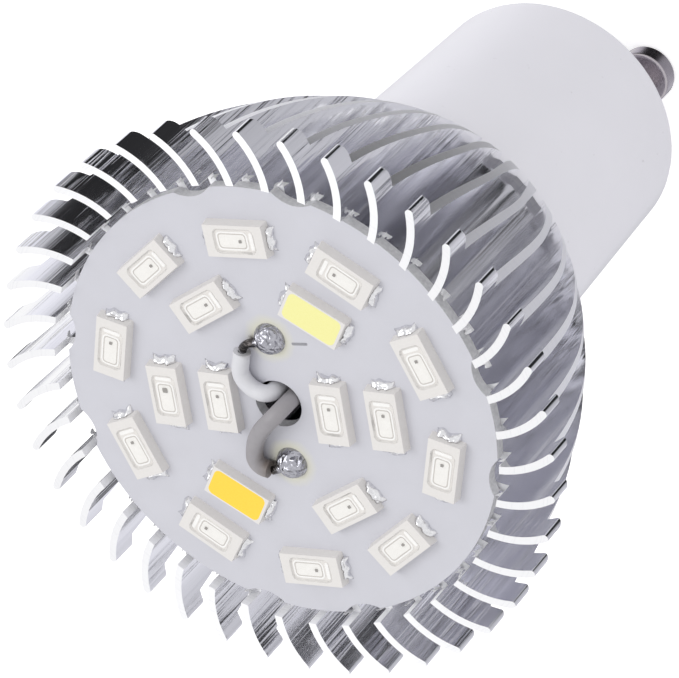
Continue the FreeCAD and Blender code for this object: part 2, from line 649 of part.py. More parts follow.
def make_lead(label, points, radius):
    """A round lead along a route; its volume is compared with section times length."""
    wire = route(points, radius)
    first = wire.Edges[0]
    direction = first.tangentAt(first.FirstParameter)
    section = Part.Wire(Part.makeCircle(radius, first.valueAt(first.FirstParameter), direction))
    tube = wire.makePipeShell([section], True, True)
    expected = math.pi * radius ** 2 * wire.Length
    if abs(tube.Volume - expected) > 0.02 * expected:
        raise ValueError("%s has the wrong volume" % label)
    lead = doc.addObject("Part::Feature", label)
    lead.Label = label
    lead.Shape = tube
    return lead


def on_board(x, y, height):
    """A point over the LED board; x runs along the row of lamps that passes the wire hole."""
    turn = math.radians(size["board_turn"])
    return (x * math.cos(turn) - y * math.sin(turn), x * math.sin(turn) + y * math.cos(turn),
            value(BOARD_TOP) + height)


# Where the two supply leads lie on the board: across, along and above it, from the solder joint to
# the wire hole.  Lead a lies on the board and lead b arches over to the hole beside it.
LEAD_A = [(-2.0, 4.85, 0.73), (-2.62, 2.75, 0.73), (-1.75, 1.5, 0.73), (-0.25, 1.1, 0.73)]
LEAD_B = [(-1.45, -5.75, 0.73), (-2.7, -5.5, 0.73), (-2.35, -3.6, 0.95), (-1.3, -1.9, 1.5),
          (1.15, 0.45, 1.9)]
STRAND_A = [(-1.985, 4.9, 0.73), (-1.75, 5.55, 0.73), (-0.2, 5.8, 0.6)]
STRAND_B = [(-1.18, -5.8, 0.73), (-0.2, -5.5, 0.6)]


def make_supply_leads():
    """Insulated leads from the driver up through the wire hole and over the board to their joints."""
    radius = size["lead_radius"]
    face = size["driver_face"] + radius + size["part_clearance"]
    upper_end = value(DRIVER_START + " + Sizes.driver_length")
    below = value(WEB_BACK)
    leads = []
    for label, surface, side in (("supply_lead_a", LEAD_A, -1), ("supply_lead_b", LEAD_B, 1)):
        x, y, top = on_board(*surface[-1])
        leads.append(make_lead(label, [on_board(*point) for point in surface] + [
            (x, y, below),
            (side * size["supply_lead_spread"], face, upper_end),
            (side * size["supply_lead_spread"], face, upper_end - size["supply_lead_lap"]),
        ], radius))
    return leads


def make_mains_lead(label, side):
    """A short insulated lead from a pin's tag to the driver board."""
    radius = size["mains_lead_radius"]
    face = size["driver_face"] + radius + size["part_clearance"]
    start = value(CAVITY_FLOOR + " + Sizes.pin_flange_length + Sizes.pin_tag_length")
    pin = side * size["pin_pitch"] / 2
    outside = pin + side * size["mains_lead_aside"]
    lean = start + size["mains_lead_rise"]
    lap = lean + size["mains_lead_step"]
    return make_lead(label, [
        (pin, 0, start),
        (pin, 0, lean),
        (outside, face, lap),
        (outside, face, lap + size["mains_lead_lap"]),
    ], radius)


def make_solder_joint(label, side, out, strand_points):
    """A solder dome on a pad of the LED board, with the tinned strands of its lead."""
    dome = new_body(label + "_dome")
    profile = new_sketch(dome, label + "_profile", "XZ_Plane")
    bulge = "(Sizes.joint_radius ^ 2 + Sizes.joint_height ^ 2) / (2 * Sizes.joint_height)"
    outline(profile, [
        ("0", "0"),
        ("Sizes.joint_radius", "0", bulge, "left"),
        ("0", "Sizes.joint_height"),
    ])
    turned(dome, label + "_turning", profile, "Revolution")
    turn = "Sizes.board_turn"
    place = ("Sizes.joints_aside", turn, side, out, turn)
    dome.setExpression("Placement.Base.x", "%s * cos(%s) - (%d * Sizes.%s) * sin(%s)" % place)
    dome.setExpression("Placement.Base.y", "%s * sin(%s) + (%d * Sizes.%s) * cos(%s)" % place)
    dome.setExpression("Placement.Base.z", BOARD_TOP)
    strands = make_lead(label + "_strands", [on_board(*point) for point in strand_points],
                        size["strand_radius"])
    joint = doc.addObject("Part::MultiFuse", label)
    joint.Label = label
    joint.Shapes = [dome, strands]
    return joint


def make_driver_board():
    body = new_body("driver_board")
    section = new_sketch(body, "driver_outline", "XZ_Plane", "-Sizes.driver_face")
    half = "Sizes.driver_width / 2"
    top = "%s + Sizes.driver_length" % DRIVER_START
    outline(section, [("-" + half, DRIVER_START), (half, DRIVER_START), (half, top), ("-" + half, top)])
    pad(body, "driver_sheet", section, "Sizes.driver_thickness")
    return body


def stand(body, x, y, along):
    """Places a body in the housing; along is counted from the driver board's lower edge."""
    body.setExpression("Placement.Base.x", x)
    body.setExpression("Placement.Base.y", y)
    body.setExpression("Placement.Base.z", "%s + %s" % (DRIVER_START, along))


def make_can(label, kind, x, along):
    """An electrolytic capacitor lying on the driver board: sleeved can with a rolled bead and two legs."""
    body = new_body(label)
    radius = "Sizes.%s_can_radius" % kind
    length = "Sizes.%s_can_length" % kind
    bead = "Sizes.can_bead_depth"
    profile = new_sketch(body, label + "_profile", "XZ_Plane")
    outline(profile, [
        ("0", "0"),
        (radius + " - %s" % bead, "0", bead, "left"),
        (radius, bead),
        (radius, "1.2 * %s / 2 + 2 * %s" % (bead, bead)),
        (radius + " - %s" % bead, "4 * %s" % bead),
        (radius, "1.2 * %s / 2 + 5 * %s" % (bead, bead)),
        (radius, "%s - %s" % (length, bead), bead, "left"),
        (radius + " - %s" % bead, length),
        ("0", length),
    ])
    turned(body, label + "_turning", profile, "Revolution")
    legs = new_sketch(body, label + "_legs", "XY_Plane")
    for sign in ("", "-"):
        circle(legs, "%s%s / 2" % (sign, radius), "0", bead)
    leg = pad(body, label + "_leg_pad", legs, "4 * %s" % bead)
    leg.Reversed = True
    stand(body, x, "Sizes.driver_face + Sizes.part_clearance + " + radius, along)
    return body


def make_fuse_resistor():
    """A fusible resistor lying on the driver board, with end caps a little larger than its middle."""
    body = new_body("fuse_resistor")
    profile = new_sketch(body, "resistor_profile", "XZ_Plane")
    radius = "Sizes.resistor_radius"
    length = "Sizes.resistor_length"
    edge = "0.2 * " + radius
    waist = "0.88 * " + radius
    outline(profile, [
        ("0", "0"),
        ("0.8 * " + radius, "0", edge, "left"),
        (radius, edge),
        (radius, "1.1 * " + radius),
        (waist, "1.4 * " + radius),
        (waist, "%s - 1.4 * %s" % (length, radius)),
        (radius, "%s - 1.1 * %s" % (length, radius)),
        (radius, "%s - %s" % (length, edge), edge, "left"),
        ("0.8 * " + radius, length),
        ("0", length),
    ])
    turned(body, "resistor_turning", profile, "Revolution")
    stand(body, "2.3", "Sizes.driver_face + Sizes.part_clearance + " + radius, "1.6")
    return body


def make_chip(label, legs_a_side, x, along):
    """A flat moulded chip with bent legs, on the track side of the driver board."""
    body = new_body(label)
    half_length = "Sizes.chip_length / 2"
    half_width = "Sizes.chip_width / 2"
    package = new_sketch(body, label + "_outline", "XZ_Plane", "Sizes.chip_leg_thickness / 2")
    outline(package, [
        ("-(%s)" % half_width, "-(%s)" % half_length), (half_width, "-(%s)" % half_length),
        (half_width, half_length), ("-(%s)" % half_width, half_length),
    ])
    pad(body, label + "_package", package, "Sizes.chip_height - Sizes.chip_leg_thickness / 2")
    legs = new_sketch(body, label + "_legs", "XZ_Plane")
    reach = "Sizes.chip_leg + %s" % half_width
    for number in range(legs_a_side):
        middle = "(%s * Sizes.chip_length / %d)" % (number + 0.5 - legs_a_side / 2, legs_a_side)
        low = "%s - Sizes.chip_leg_width / 2" % middle
        high = "%s + Sizes.chip_leg_width / 2" % middle
        outline(legs, [("-(%s)" % reach, low), (reach, low), (reach, high), ("-(%s)" % reach, high)])
    pad(body, label + "_leg_pad", legs, "Sizes.chip_leg_thickness")
    stand(body, x, "Sizes.driver_face - Sizes.driver_thickness - Sizes.part_clearance", along)
    return body


def make_transformer(along):
    """The switching transformer: a ferrite frame round a wound bobbin that stands on the board."""
    middle = "Sizes.driver_face + Sizes.bobbin_stand + Sizes.core_depth / 2"
    gap = "Sizes.part_clearance"
    window = "Sizes.core_length - 2 * Sizes.core_limb"
    core = new_body("transformer_core")
    frame = new_sketch(core, "ferrite_outline", "XZ_Plane")
    half = "Sizes.core_width / 2"
    inner = "Sizes.core_width / 2 - Sizes.core_limb"
    far = "Sizes.core_length - Sizes.core_limb"
    outline(frame, [("-" + half, "0"), (half, "0"), (half, "Sizes.core_length"),
                    ("-" + half, "Sizes.core_length")])
    outline(frame, [("-(%s)" % inner, "Sizes.core_limb"), (inner, "Sizes.core_limb"),
                    (inner, far), ("-(%s)" % inner, far)])
    ferrite = pad(core, "ferrite_frame", frame, "Sizes.core_depth")
    ferrite.Midplane = True
    limb = new_sketch(core, "limb_section", "XY_Plane", "Sizes.core_limb")
    circle(limb, "0", "0", "Sizes.centre_limb_radius")
    pad(core, "centre_limb", limb, window)
    stand(core, "0", middle, along)

    bobbin = new_body("transformer_bobbin")
    foot = "-(Sizes.bobbin_stand + Sizes.core_depth / 2 - %s)" % gap
    flange_start = "Sizes.core_limb + %s" % gap
    flange_end = "%s - %s" % (far, gap)
    thickness = "Sizes.bobbin_wall"
    blocks = new_sketch(bobbin, "foot_section", "XY_Plane")
    outline(blocks, [("-" + half, foot), (half, foot), (half, "-(Sizes.core_depth / 2) - %s" % gap),
                     ("-" + half, "-(Sizes.core_depth / 2) - %s" % gap)])
    pad(bobbin, "feet", blocks, "Sizes.core_length")
    relief = new_sketch(bobbin, "relief_section", "XY_Plane", "%s + %s" % (flange_start, thickness))
    outline(relief, [("-" + half, foot), (half, foot), (half, "0"), ("-" + half, "0")])
    depth = "%s - 2 * %s - (%s)" % (flange_end, thickness, flange_start)
    pocket(bobbin, "relief", relief, depth, upward=True)
    flanges = new_sketch(bobbin, "flange_section", "XY_Plane", flange_start)
    reach = "Sizes.coil_radius + %s" % gap
    outline(flanges, [("-(%s)" % reach, foot), (reach, foot), (reach, reach), ("-(%s)" % reach, reach)])
    pad(bobbin, "near_flange", flanges, thickness)
    others = new_sketch(bobbin, "far_flange_section", "XY_Plane", "%s - %s" % (flange_end, thickness))
    outline(others, [("-(%s)" % reach, foot), (reach, foot), (reach, reach), ("-(%s)" % reach, reach)])
    pad(bobbin, "far_flange", others, thickness)
    tube = new_sketch(bobbin, "tube_section", "XY_Plane", flange_start)
    circle(tube, "0", "0", "Sizes.centre_limb_radius + %s + %s" % (gap, thickness))
    pad(bobbin, "tube", tube, "%s - (%s)" % (flange_end, flange_start))
    opening = new_sketch(bobbin, "opening_section", "XY_Plane", flange_start)
    circle(opening, "0", "0", "Sizes.centre_limb_radius + %s" % gap)
    pocket(bobbin, "opening", opening, "%s - (%s)" % (flange_end, flange_start), upward=True)
    stand(bobbin, "0", middle, along)

    coil = new_body("transformer_coil")
    winding = new_sketch(coil, "winding_section", "XY_Plane",
                         "%s + %s + %s" % (flange_start, thickness, gap))
    circle(winding, "0", "0", "Sizes.coil_radius")
    circle(winding, "0", "0", "Sizes.centre_limb_radius + 2 * %s + %s" % (gap, thickness))
    span = "%s - (%s) - 2 * %s - 2 * %s" % (flange_end, flange_start, thickness, gap)
    pad(coil, "winding", winding, span)
    stand(coil, "0", middle, along)
    return [core, bobbin, coil]


parts = [make_heat_sink(), make_led_board(), make_thermal_paste()]
parts += make_lamps()
parts += [make_solder_joint("solder_joint_a", 1, "upper_joint_out", STRAND_A)]
parts += [make_solder_joint("solder_joint_b", -1, "lower_joint_out", STRAND_B)]
parts += make_supply_leads()
parts += [make_housing(), make_pin("contact_pin_a", "1"), make_pin("contact_pin_b", "-1"), make_screws()]
parts += [make_mains_lead("mains_lead_a", 1), make_mains_lead("mains_lead_b", -1), make_driver_board()]
parts += [make_chip("rectifier", 2, "-3", "4"), make_chip("control_chip", 4, "2.5", "14")]
parts += [make_can("bulk_capacitor", "bulk", "-3.8", "6.5")]
parts += [make_can("output_capacitor", "output", "3.9", "10")]
parts += [make_fuse_resistor()]
parts += make_transformer("19.5")

doc.recompute()
for item in doc.Objects:
    if "Invalid" in item.State or "Error" in item.State:
        raise ValueError("%s did not build" % item.Name)
    if item.isDerivedFrom("Part::Feature") and (item.Shape.isNull() or not item.Shape.isValid()):
        raise ValueError("%s has a bad shape" % item.Name)
    if item.TypeId in ("PartDesign::Pocket", "PartDesign::Groove"):
        if item.BaseFeature.Shape.Volume - item.Shape.Volume < 0.001:
            raise ValueError("%s cut nothing" % item.Name)

os.makedirs("parts", exist_ok=True)
for item in parts:
    item.Shape.exportStep(os.path.join("parts", item.Label + ".step"))
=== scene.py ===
import math
import random

import bmesh
import bpy
from mathutils import Matrix, Vector, noise


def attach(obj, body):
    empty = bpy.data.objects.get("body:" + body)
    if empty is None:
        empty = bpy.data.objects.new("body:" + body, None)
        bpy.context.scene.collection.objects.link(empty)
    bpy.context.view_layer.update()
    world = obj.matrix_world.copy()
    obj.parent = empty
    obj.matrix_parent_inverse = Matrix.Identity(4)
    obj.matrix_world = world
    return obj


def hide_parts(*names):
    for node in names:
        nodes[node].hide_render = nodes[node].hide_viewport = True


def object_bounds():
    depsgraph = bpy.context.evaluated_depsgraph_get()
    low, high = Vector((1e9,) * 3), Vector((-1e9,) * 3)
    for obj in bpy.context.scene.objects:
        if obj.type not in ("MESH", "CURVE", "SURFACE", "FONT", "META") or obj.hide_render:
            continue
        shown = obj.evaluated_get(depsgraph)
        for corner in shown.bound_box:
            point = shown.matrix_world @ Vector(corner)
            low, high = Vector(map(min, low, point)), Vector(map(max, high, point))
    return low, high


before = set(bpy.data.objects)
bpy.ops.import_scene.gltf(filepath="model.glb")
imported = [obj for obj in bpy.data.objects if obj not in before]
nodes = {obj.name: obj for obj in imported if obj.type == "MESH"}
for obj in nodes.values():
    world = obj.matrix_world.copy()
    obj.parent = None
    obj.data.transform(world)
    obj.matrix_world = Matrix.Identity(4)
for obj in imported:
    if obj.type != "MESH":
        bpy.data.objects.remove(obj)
cad_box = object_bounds()


# Heat sink.  One length of finned aluminium extrusion, turned on a lathe into a bell with a
# tabbed flange, then bored in front for the board.  The fins' sides keep the straight lines of
# the die and shine like a wavy mirror; the front, the bell and the bore are satin lathe rings.
MM = 0.001  # sizes below are in millimetres
FIN_COUNT = 40
FIN_TURN = -0.8  # degrees
FIN_OFFSET = 1.92  # a fin's straight foot beside the axis
RECESS_RADIUS = 19.65
RECESS_FLOOR = 59.3
WALL_MARGIN = 0.03
FLOOR_MARGIN = 0.02
UPRIGHT = 0.03  # slope under which a surface is an extruded side
DIE_LINE = 0.16  # both are finer on the real one, and drawn as coarse as they need to show
LATHE_RING = 0.11
DRAWN_OUT = 0.012  # the die lines run along the extrusion
SIDE_WAVE_DEPTH = 0.08
LINE_DEPTH = 0.035
SIDE_ROUGHNESS = (0.16, 0.08)
LATHE_ROUGHNESS = 0.45
BORE_ROUGHNESS = 0.65


def linear(colour):
    """An sRGB hex colour as the linear colour that a shader takes."""
    parts = [int(colour[i:i + 2], 16) / 255 for i in (1, 3, 5)]
    return [p / 12.92 if p <= 0.04045 else ((p + 0.055) / 1.055) ** 2.4 for p in parts] + [1.0]


def add(tree, kind, sockets=None, **settings):
    """Adds a node with its settings; each socket gets a link or a plain value."""
    node = tree.nodes.new("ShaderNode" + kind)
    for name, value in settings.items():
        setattr(node, name, value)
    for name, value in (sockets or {}).items():
        if isinstance(value, bpy.types.NodeSocket):
            tree.links.new(value, node.inputs[name])
        else:
            node.inputs[name].default_value = value
    return node


def new_material(name):
    """A named material with its shader, and the place on the object in millimetres."""
    material = bpy.data.materials.new(name)
    material.use_nodes = True
    tree = material.node_tree
    shader = tree.nodes["Principled BSDF"]
    place = add(tree, "VectorMath", {0: add(tree, "TexCoord").outputs["Object"], "Scale": 1 / MM},
                operation="SCALE").outputs[0]
    return material, tree, shader, place


def dress(material, *names):
    """Gives CAD nodes their finish."""
    for name in names:
        nodes[name].data.materials.clear()
        nodes[name].data.materials.append(material)


turned_aluminium, tree, shader, place = new_material("turned_and_extruded_aluminium")
flat_place = add(tree, "VectorMath", {0: place, 1: (1, 1, 0)}, operation="MULTIPLY").outputs[0]
radius = add(tree, "VectorMath", {0: flat_place}, operation="LENGTH").outputs["Value"]
height = add(tree, "SeparateXYZ", {0: place}).outputs["Z"]
facing = add(tree, "NewGeometry").outputs["True Normal"]
slope = add(tree, "Math", {0: add(tree, "SeparateXYZ", {0: facing}).outputs["Z"]},
            operation="ABSOLUTE").outputs[0]
leaning = add(tree, "Math", {0: slope, 1: UPRIGHT}, operation="GREATER_THAN").outputs[0]
inside = add(tree, "Math", {0: radius, 1: RECESS_RADIUS + WALL_MARGIN}, operation="LESS_THAN").outputs[0]
above = add(tree, "Math", {0: height, 1: RECESS_FLOOR - FLOOR_MARGIN}, operation="GREATER_THAN").outputs[0]
bored = add(tree, "Math", {0: inside, 1: above}, operation="MULTIPLY").outputs[0]
turned = add(tree, "Math", {0: leaning, 1: bored}, operation="MAXIMUM").outputs[0]
drawn = add(tree, "VectorMath", {0: place, 1: (1, 1, DRAWN_OUT)}, operation="MULTIPLY").outputs[0]
die_lines = add(tree, "TexNoise", {"Vector": drawn, "Scale": 1 / DIE_LINE, "Detail": 2.0}).outputs["Fac"]
wide_lines = add(tree, "TexNoise", {"Vector": drawn, "Scale": 0.25 / DIE_LINE, "Detail": 2.0}).outputs["Fac"]
bands = add(tree, "TexNoise", {"Vector": drawn, "Scale": 0.05 / DIE_LINE, "Detail": 1.0}).outputs["Fac"]
ring_place = add(tree, "CombineXYZ", {"X": radius, "Z": height}).outputs[0]
rings = add(tree, "TexNoise", {"Vector": ring_place, "Scale": 1 / LATHE_RING, "Detail": 2.0}).outputs["Fac"]
depth = add(tree, "MapRange", {0: bands, 1: 0.46, 2: 0.62, 3: 0.1, 4: 1.7}).outputs[0]
ridges = add(tree, "MapRange", {0: die_lines, 1: 0.55, 2: 0.72}).outputs[0]
scored = add(tree, "Math", {0: ridges, 1: depth}, operation="MULTIPLY").outputs[0]
waved = add(tree, "Math", {0: wide_lines, 1: depth}, operation="MULTIPLY").outputs[0]
shallow = add(tree, "MapRange", {0: rings, 3: 0.35, 4: 0.65}).outputs[0]
marks = add(tree, "Mix", {0: turned, 2: scored, 3: shallow}).outputs[0]
waves = add(tree, "Mix", {0: turned, 2: waved, 3: 0.5}).outputs[0]
tone = add(tree, "Mix", {0: turned, 2: wide_lines, 3: rings}).outputs[0]
tint = add(tree, "MapRange", {0: tone, 1: 0.25, 2: 0.45}).outputs[0]
tree.links.new(add(tree, "Mix", {0: tint, 6: linear("#EAEAEE"), 7: linear("#F8F8FA")},
                   data_type="RGBA").outputs[2], shader.inputs["Base Color"])
polish = add(tree, "MapRange", {0: wide_lines, 1: 0.3, 2: 0.7,
                                3: SIDE_ROUGHNESS[0], 4: SIDE_ROUGHNESS[1]}).outputs[0]
cut = add(tree, "Mix", {0: bored, 2: LATHE_ROUGHNESS, 3: BORE_ROUGHNESS}).outputs[0]
tree.links.new(add(tree, "Mix", {0: turned, 2: polish, 3: cut}).outputs[0], shader.inputs["Roughness"])
wavy = add(tree, "Bump", {"Height": waves, "Strength": 1.0, "Distance": SIDE_WAVE_DEPTH * MM}).outputs[0]
tree.links.new(add(tree, "Bump", {"Height": marks, "Strength": 1.0, "Distance": LINE_DEPTH * MM,
                                  "Normal": wavy}).outputs[0], shader.inputs["Normal"])
round_way = add(tree, "VectorMath", {0: (0, 0, 1), 1: flat_place}, operation="CROSS_PRODUCT").outputs[0]
groove_way = add(tree, "Mix", {0: turned, 4: (0, 0, 1), 5: round_way}, data_type="VECTOR").outputs[1]
across_grooves = add(tree, "VectorMath", {0: groove_way, 1: facing}, operation="CROSS_PRODUCT").outputs[0]
tree.links.new(across_grooves, shader.inputs["Tangent"])
shader.inputs["Anisotropic"].default_value = 0.6
shader.inputs["Metallic"].default_value = 1.0
dress(turned_aluminium, "heat_sink")


# Machining burrs.  Thin bright flakes of aluminium that the boring tool tore at each fin; they
# stand like small crowns on the shelf round the board, crushed together on one side.
BURR_RADIUS = 19.4
BURR_THICKNESS = 0.05
BURR_CREASE = 0.1
BURR_TEETH = (0.35, 0.95, 0.75, 0.45, 0.85, 0.9, 0.4)
BURR_LEVELS = (0, 0.35, 0.7, 1)
# Least and most of a flake's distance from the fin's middle, its width, its height and its lean.
STANDING_FLAKE = ((0.15, 0.3), (0.55, 0.75), (0.65, 0.9), (-0.2, 0.35))
CRUSHED_FLAKE = ((-0.1, 0.6), (0.5, 0.8), (0.6, 0.9), (0.4, 0.9))
CRUSHED_SIDE = -16  # degrees
CRUSHED_SPREAD = 45
CREASES_PER_MM = 6.0


def new_piece(name, mesh, material, smooth=True):
    """Finishes a mesh as a piece of the lamp that rides with it."""
    data = bpy.data.meshes.new(name)
    bmesh.ops.recalc_face_normals(mesh, faces=mesh.faces)
    mesh.to_mesh(data)
    mesh.free()
    data.materials.append(material)
    for face in data.polygons:
        face.use_smooth = smooth
    piece = bpy.data.objects.new(name, data)
    bpy.context.scene.collection.objects.link(piece)
    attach(piece, "root")
    return piece


def turn(x, y, degrees):
    """A point turned about the lamp's axis."""
    c, s = math.cos(math.radians(degrees)), math.sin(math.radians(degrees))
    return x * c - y * s, x * s + y * c


def close_grids(mesh, near, far):
    """Faces over two equal grids of points and round their edges, as one closed skin."""
    near, far = [[[mesh.verts.new(point * MM) for point in line] for line in grid] for grid in (near, far)]
    columns, rows = len(near) - 1, len(near[0]) - 1
    for i in range(columns):
        for j in range(rows):
            mesh.faces.new((near[i][j], near[i + 1][j], near[i + 1][j + 1], near[i][j + 1]))
            mesh.faces.new((far[i][j], far[i][j + 1], far[i + 1][j + 1], far[i + 1][j]))
    for i in range(columns):
        mesh.faces.new((near[i + 1][0], near[i][0], far[i][0], far[i + 1][0]))
        mesh.faces.new((near[i][rows], near[i + 1][rows], far[i + 1][rows], far[i][rows]))
    for j in range(rows):
        mesh.faces.new((near[0][j], near[0][j + 1], far[0][j + 1], far[0][j]))
        mesh.faces.new((near[columns][j + 1], near[columns][j], far[columns][j], far[columns][j + 1]))


def flake(mesh, angle, aside, width, tall, lean):
    """A torn upright flake at a fin's inner end; aside is its distance from the fin's middle."""
    start = math.sqrt(BURR_RADIUS ** 2 - FIN_OFFSET ** 2)
    grids = []
    crease = [random.uniform(-BURR_CREASE, BURR_CREASE) for tooth in BURR_TEETH]
    teeth = [tall * tooth * random.uniform(0.8, 1.2) for tooth in BURR_TEETH]
    for thickness in (0, BURR_THICKNESS):
        grid = []
        for column, top in enumerate(teeth):
            along = -FIN_OFFSET - aside - width * column / (len(teeth) - 1)
            line = []
            for part in BURR_LEVELS:
                out = start + thickness + crease[column] * part - lean * top * part ** 2
                x, y = turn(out, along, angle)
                line.append(Vector((x, y, RECESS_FLOOR + top * part)))
            grid.append(line)
        grids.append(grid)
    close_grids(mesh, *grids)


random.seed(40)
burrs = bmesh.new()
for fin in range(FIN_COUNT):
    angle = FIN_TURN + 360 / FIN_COUNT * fin
    flake(burrs, angle, *[random.uniform(*limits) for limits in STANDING_FLAKE])
    if abs(math.remainder(angle - CRUSHED_SIDE, 360)) < CRUSHED_SPREAD:
        flake(burrs, angle, *[random.uniform(*limits) for limits in CRUSHED_FLAKE])
raw_aluminium, tree, shader, place = new_material("raw_aluminium_flake")
crease = add(tree, "TexNoise", {"Vector": place, "Scale": CREASES_PER_MM, "Detail": 3.0}).outputs["Fac"]
tree.links.new(add(tree, "Mix", {0: crease, 6: linear("#E4E4E8"), 7: linear("#FFFFFF")},
                   data_type="RGBA").outputs[2], shader.inputs["Base Color"])
tree.links.new(add(tree, "Bump", {"Height": crease, "Strength": 0.8, "Distance": 0.05 * MM}).outputs[0],
               shader.inputs["Normal"])
shader.inputs["Metallic"].default_value = 0.2  # crumpled so finely that it looks white, not mirrored
shader.inputs["Roughness"].default_value = 0.4
burr_piece = new_piece("machining_burrs", burrs, raw_aluminium, smooth=False)


# LED board.  A 1 mm aluminium disc with a satin white printed mask, routed out of a panel: its
# edge is bare matt metal, with painted light: its colour is lighter than the metal's, to make up
# for the shade of the recess round it.  Flux has run out pale yellow round both joints, burnt on one side.
BOARD_TURN = -6.7  # degrees
BOARD_TOP = 60.4
JOINTS = (turn(0.28, 5.85, BOARD_TURN), turn(0.28, -5.3, BOARD_TURN))
FLUX_REACH = (1.7, 2.5)  # where the yellow starts to fade, and where it ends
BURNT_REACH = (0.75, 1.05)
BURNT_ASIDE = (1.6, 0.2)
MOTTLES_PER_MM = 0.35
MASK_GRAINS_PER_MM = 9.0
ROUTER_MARKS_PER_MM = 3.5
FLUX_WAVES_PER_MM = 0.9
white_mask, tree, shader, place = new_material("white_solder_mask_on_aluminium")
slope = add(tree, "SeparateXYZ", {0: add(tree, "NewGeometry").outputs["True Normal"]}).outputs["Z"]
face = add(tree, "Math", {0: slope, 1: 0.5}, operation="GREATER_THAN").outputs[0]
mottle = add(tree, "TexNoise", {"Vector": place, "Scale": MOTTLES_PER_MM, "Detail": 5.0}).outputs["Fac"]
grain = add(tree, "TexNoise", {"Vector": place, "Scale": MASK_GRAINS_PER_MM, "Detail": 2.0}).outputs["Fac"]
routed = add(tree, "TexNoise", {"Vector": place, "Scale": ROUTER_MARKS_PER_MM, "Detail": 4.0}).outputs["Fac"]
colour = add(tree, "Mix", {0: mottle, 6: linear("#C9C9D0"), 7: linear("#D0D0D8")},
             data_type="RGBA").outputs[2]
wobble = add(tree, "TexNoise", {"Vector": place, "Scale": FLUX_WAVES_PER_MM, "Detail": 2.0}).outputs["Fac"]
for x, y in JOINTS:
    away = add(tree, "VectorMath", {0: place, 1: (x, y, BOARD_TOP)}, operation="DISTANCE").outputs["Value"]
    uneven = add(tree, "Math", {0: wobble, 1: 0.5, 2: away}, operation="MULTIPLY_ADD").outputs[0]
    halo = add(tree, "MapRange", {0: uneven, 1: FLUX_REACH[0], 2: FLUX_REACH[1], 3: 0.5, 4: 0.0}).outputs[0]
    colour = add(tree, "Mix", {0: halo, 6: colour, 7: linear("#E2DFBC")}, data_type="RGBA").outputs[2]
    aside = add(tree, "VectorMath", {0: place, 1: (x - BURNT_ASIDE[0], y - BURNT_ASIDE[1], BOARD_TOP)},
                operation="DISTANCE").outputs["Value"]
    uneven = add(tree, "Math", {0: routed, 1: 0.9, 2: aside}, operation="MULTIPLY_ADD").outputs[0]
    burnt = add(tree, "MapRange", {0: uneven, 1: BURNT_REACH[0], 2: BURNT_REACH[1],
                                   3: 0.85, 4: 0.0}).outputs[0]
    colour = add(tree, "Mix", {0: burnt, 6: colour, 7: linear("#4A4040")}, data_type="RGBA").outputs[2]
# Painted light: the routed edge is coloured lighter than bare metal to make up for the shade of the recess.
edge_colour_with_painted_light = add(tree, "Mix", {0: routed, 6: linear("#B4B4B8"), 7: linear("#F0F0F2")},
                  data_type="RGBA").outputs[2]
tree.links.new(add(tree, "Mix", {0: face, 6: edge_colour_with_painted_light, 7: colour}, data_type="RGBA").outputs[2],
               shader.inputs["Base Color"])
tree.links.new(add(tree, "MapRange", {0: grain, 3: 0.4, 4: 0.5}).outputs[0], shader.inputs["Roughness"])
tree.links.new(add(tree, "Bump", {"Height": add(tree, "Mix", {0: face, 2: routed, 3: grain}).outputs[0],
                                  "Strength": 0.3, "Distance": 0.03 * MM}).outputs[0],
               shader.inputs["Normal"])
dress(white_mask, "led_board")


# LED packages.  White polyphthalamide bodies of 5.5 by 3 mm, moulded with a reflector cup on two
# tinned terminals and soldered to the board: a matt, slightly warm white with soft edges.
LED_COUNT = 18
PACKAGE_ROUNDING = 0.14
PACKAGE_GRAINS_PER_MM = 5.0
white_package, tree, shader, place = new_material("white_polyphthalamide_moulded")
grain = add(tree, "TexNoise", {"Vector": place, "Scale": PACKAGE_GRAINS_PER_MM, "Detail": 3.0}).outputs["Fac"]
tree.links.new(add(tree, "Mix", {0: grain, 6: linear("#DEDBD8"), 7: linear("#E6E3E1")},
                   data_type="RGBA").outputs[2], shader.inputs["Base Color"])
tree.links.new(add(tree, "Bump", {"Height": grain, "Strength": 0.25, "Distance": 0.02 * MM}).outputs[0],
               shader.inputs["Normal"])
shader.inputs["Roughness"].default_value = 0.45
for number in range(1, LED_COUNT + 1):
    dress(white_package, "led_%02d" % number)
    rounding = nodes["led_%02d" % number].modifiers.new("moulded_edges", "BEVEL")
    rounding.width = PACKAGE_ROUNDING * MM
    rounding.segments = 3
    rounding.limit_method = "ANGLE"
    rounding.angle_limit = math.radians(35)


# Cup of each clear LED.  The moulded floor has a white rounded border round the silvered pad that
# carries the die, and a white bar over the second pad, beside it.  Both are painted whiter than the
# package, as a painted highlight of the reflector cup's wall.  The die is stuck to its pad.
LED_RINGS = [(14.7, -15 + 36 * k) for k in range(10)] + [(9.8, 60 * k) for k in range(6)]
LED_RINGS += [(5.0, 0), (5.0, 180)]  # radius and degrees
PHOSPHOR_LEDS = (12, 15)
STRIPE_CLOCKWISE = (4, 5, 6, 7, 8, 13, 14, 18)
CUP_FLOOR = BOARD_TOP + 0.6
# Each plate: place along the LED, length, width, bottom and top over the cup, corner radius.
CUP_FLOORS = ((0, 3.5, 1.95, 0.002, 0.15, 0.45),)
# The borders and bar are painted whiter than the package: a painted highlight of the cup's wall.
CUP_PAINTED_HIGHLIGHT_RIMS = ((0.22, 2.8, 1.6, 0.157, 0.2, 0.42), (-1.5, 0.3, 1.5, 0.157, 0.2, 0.13))
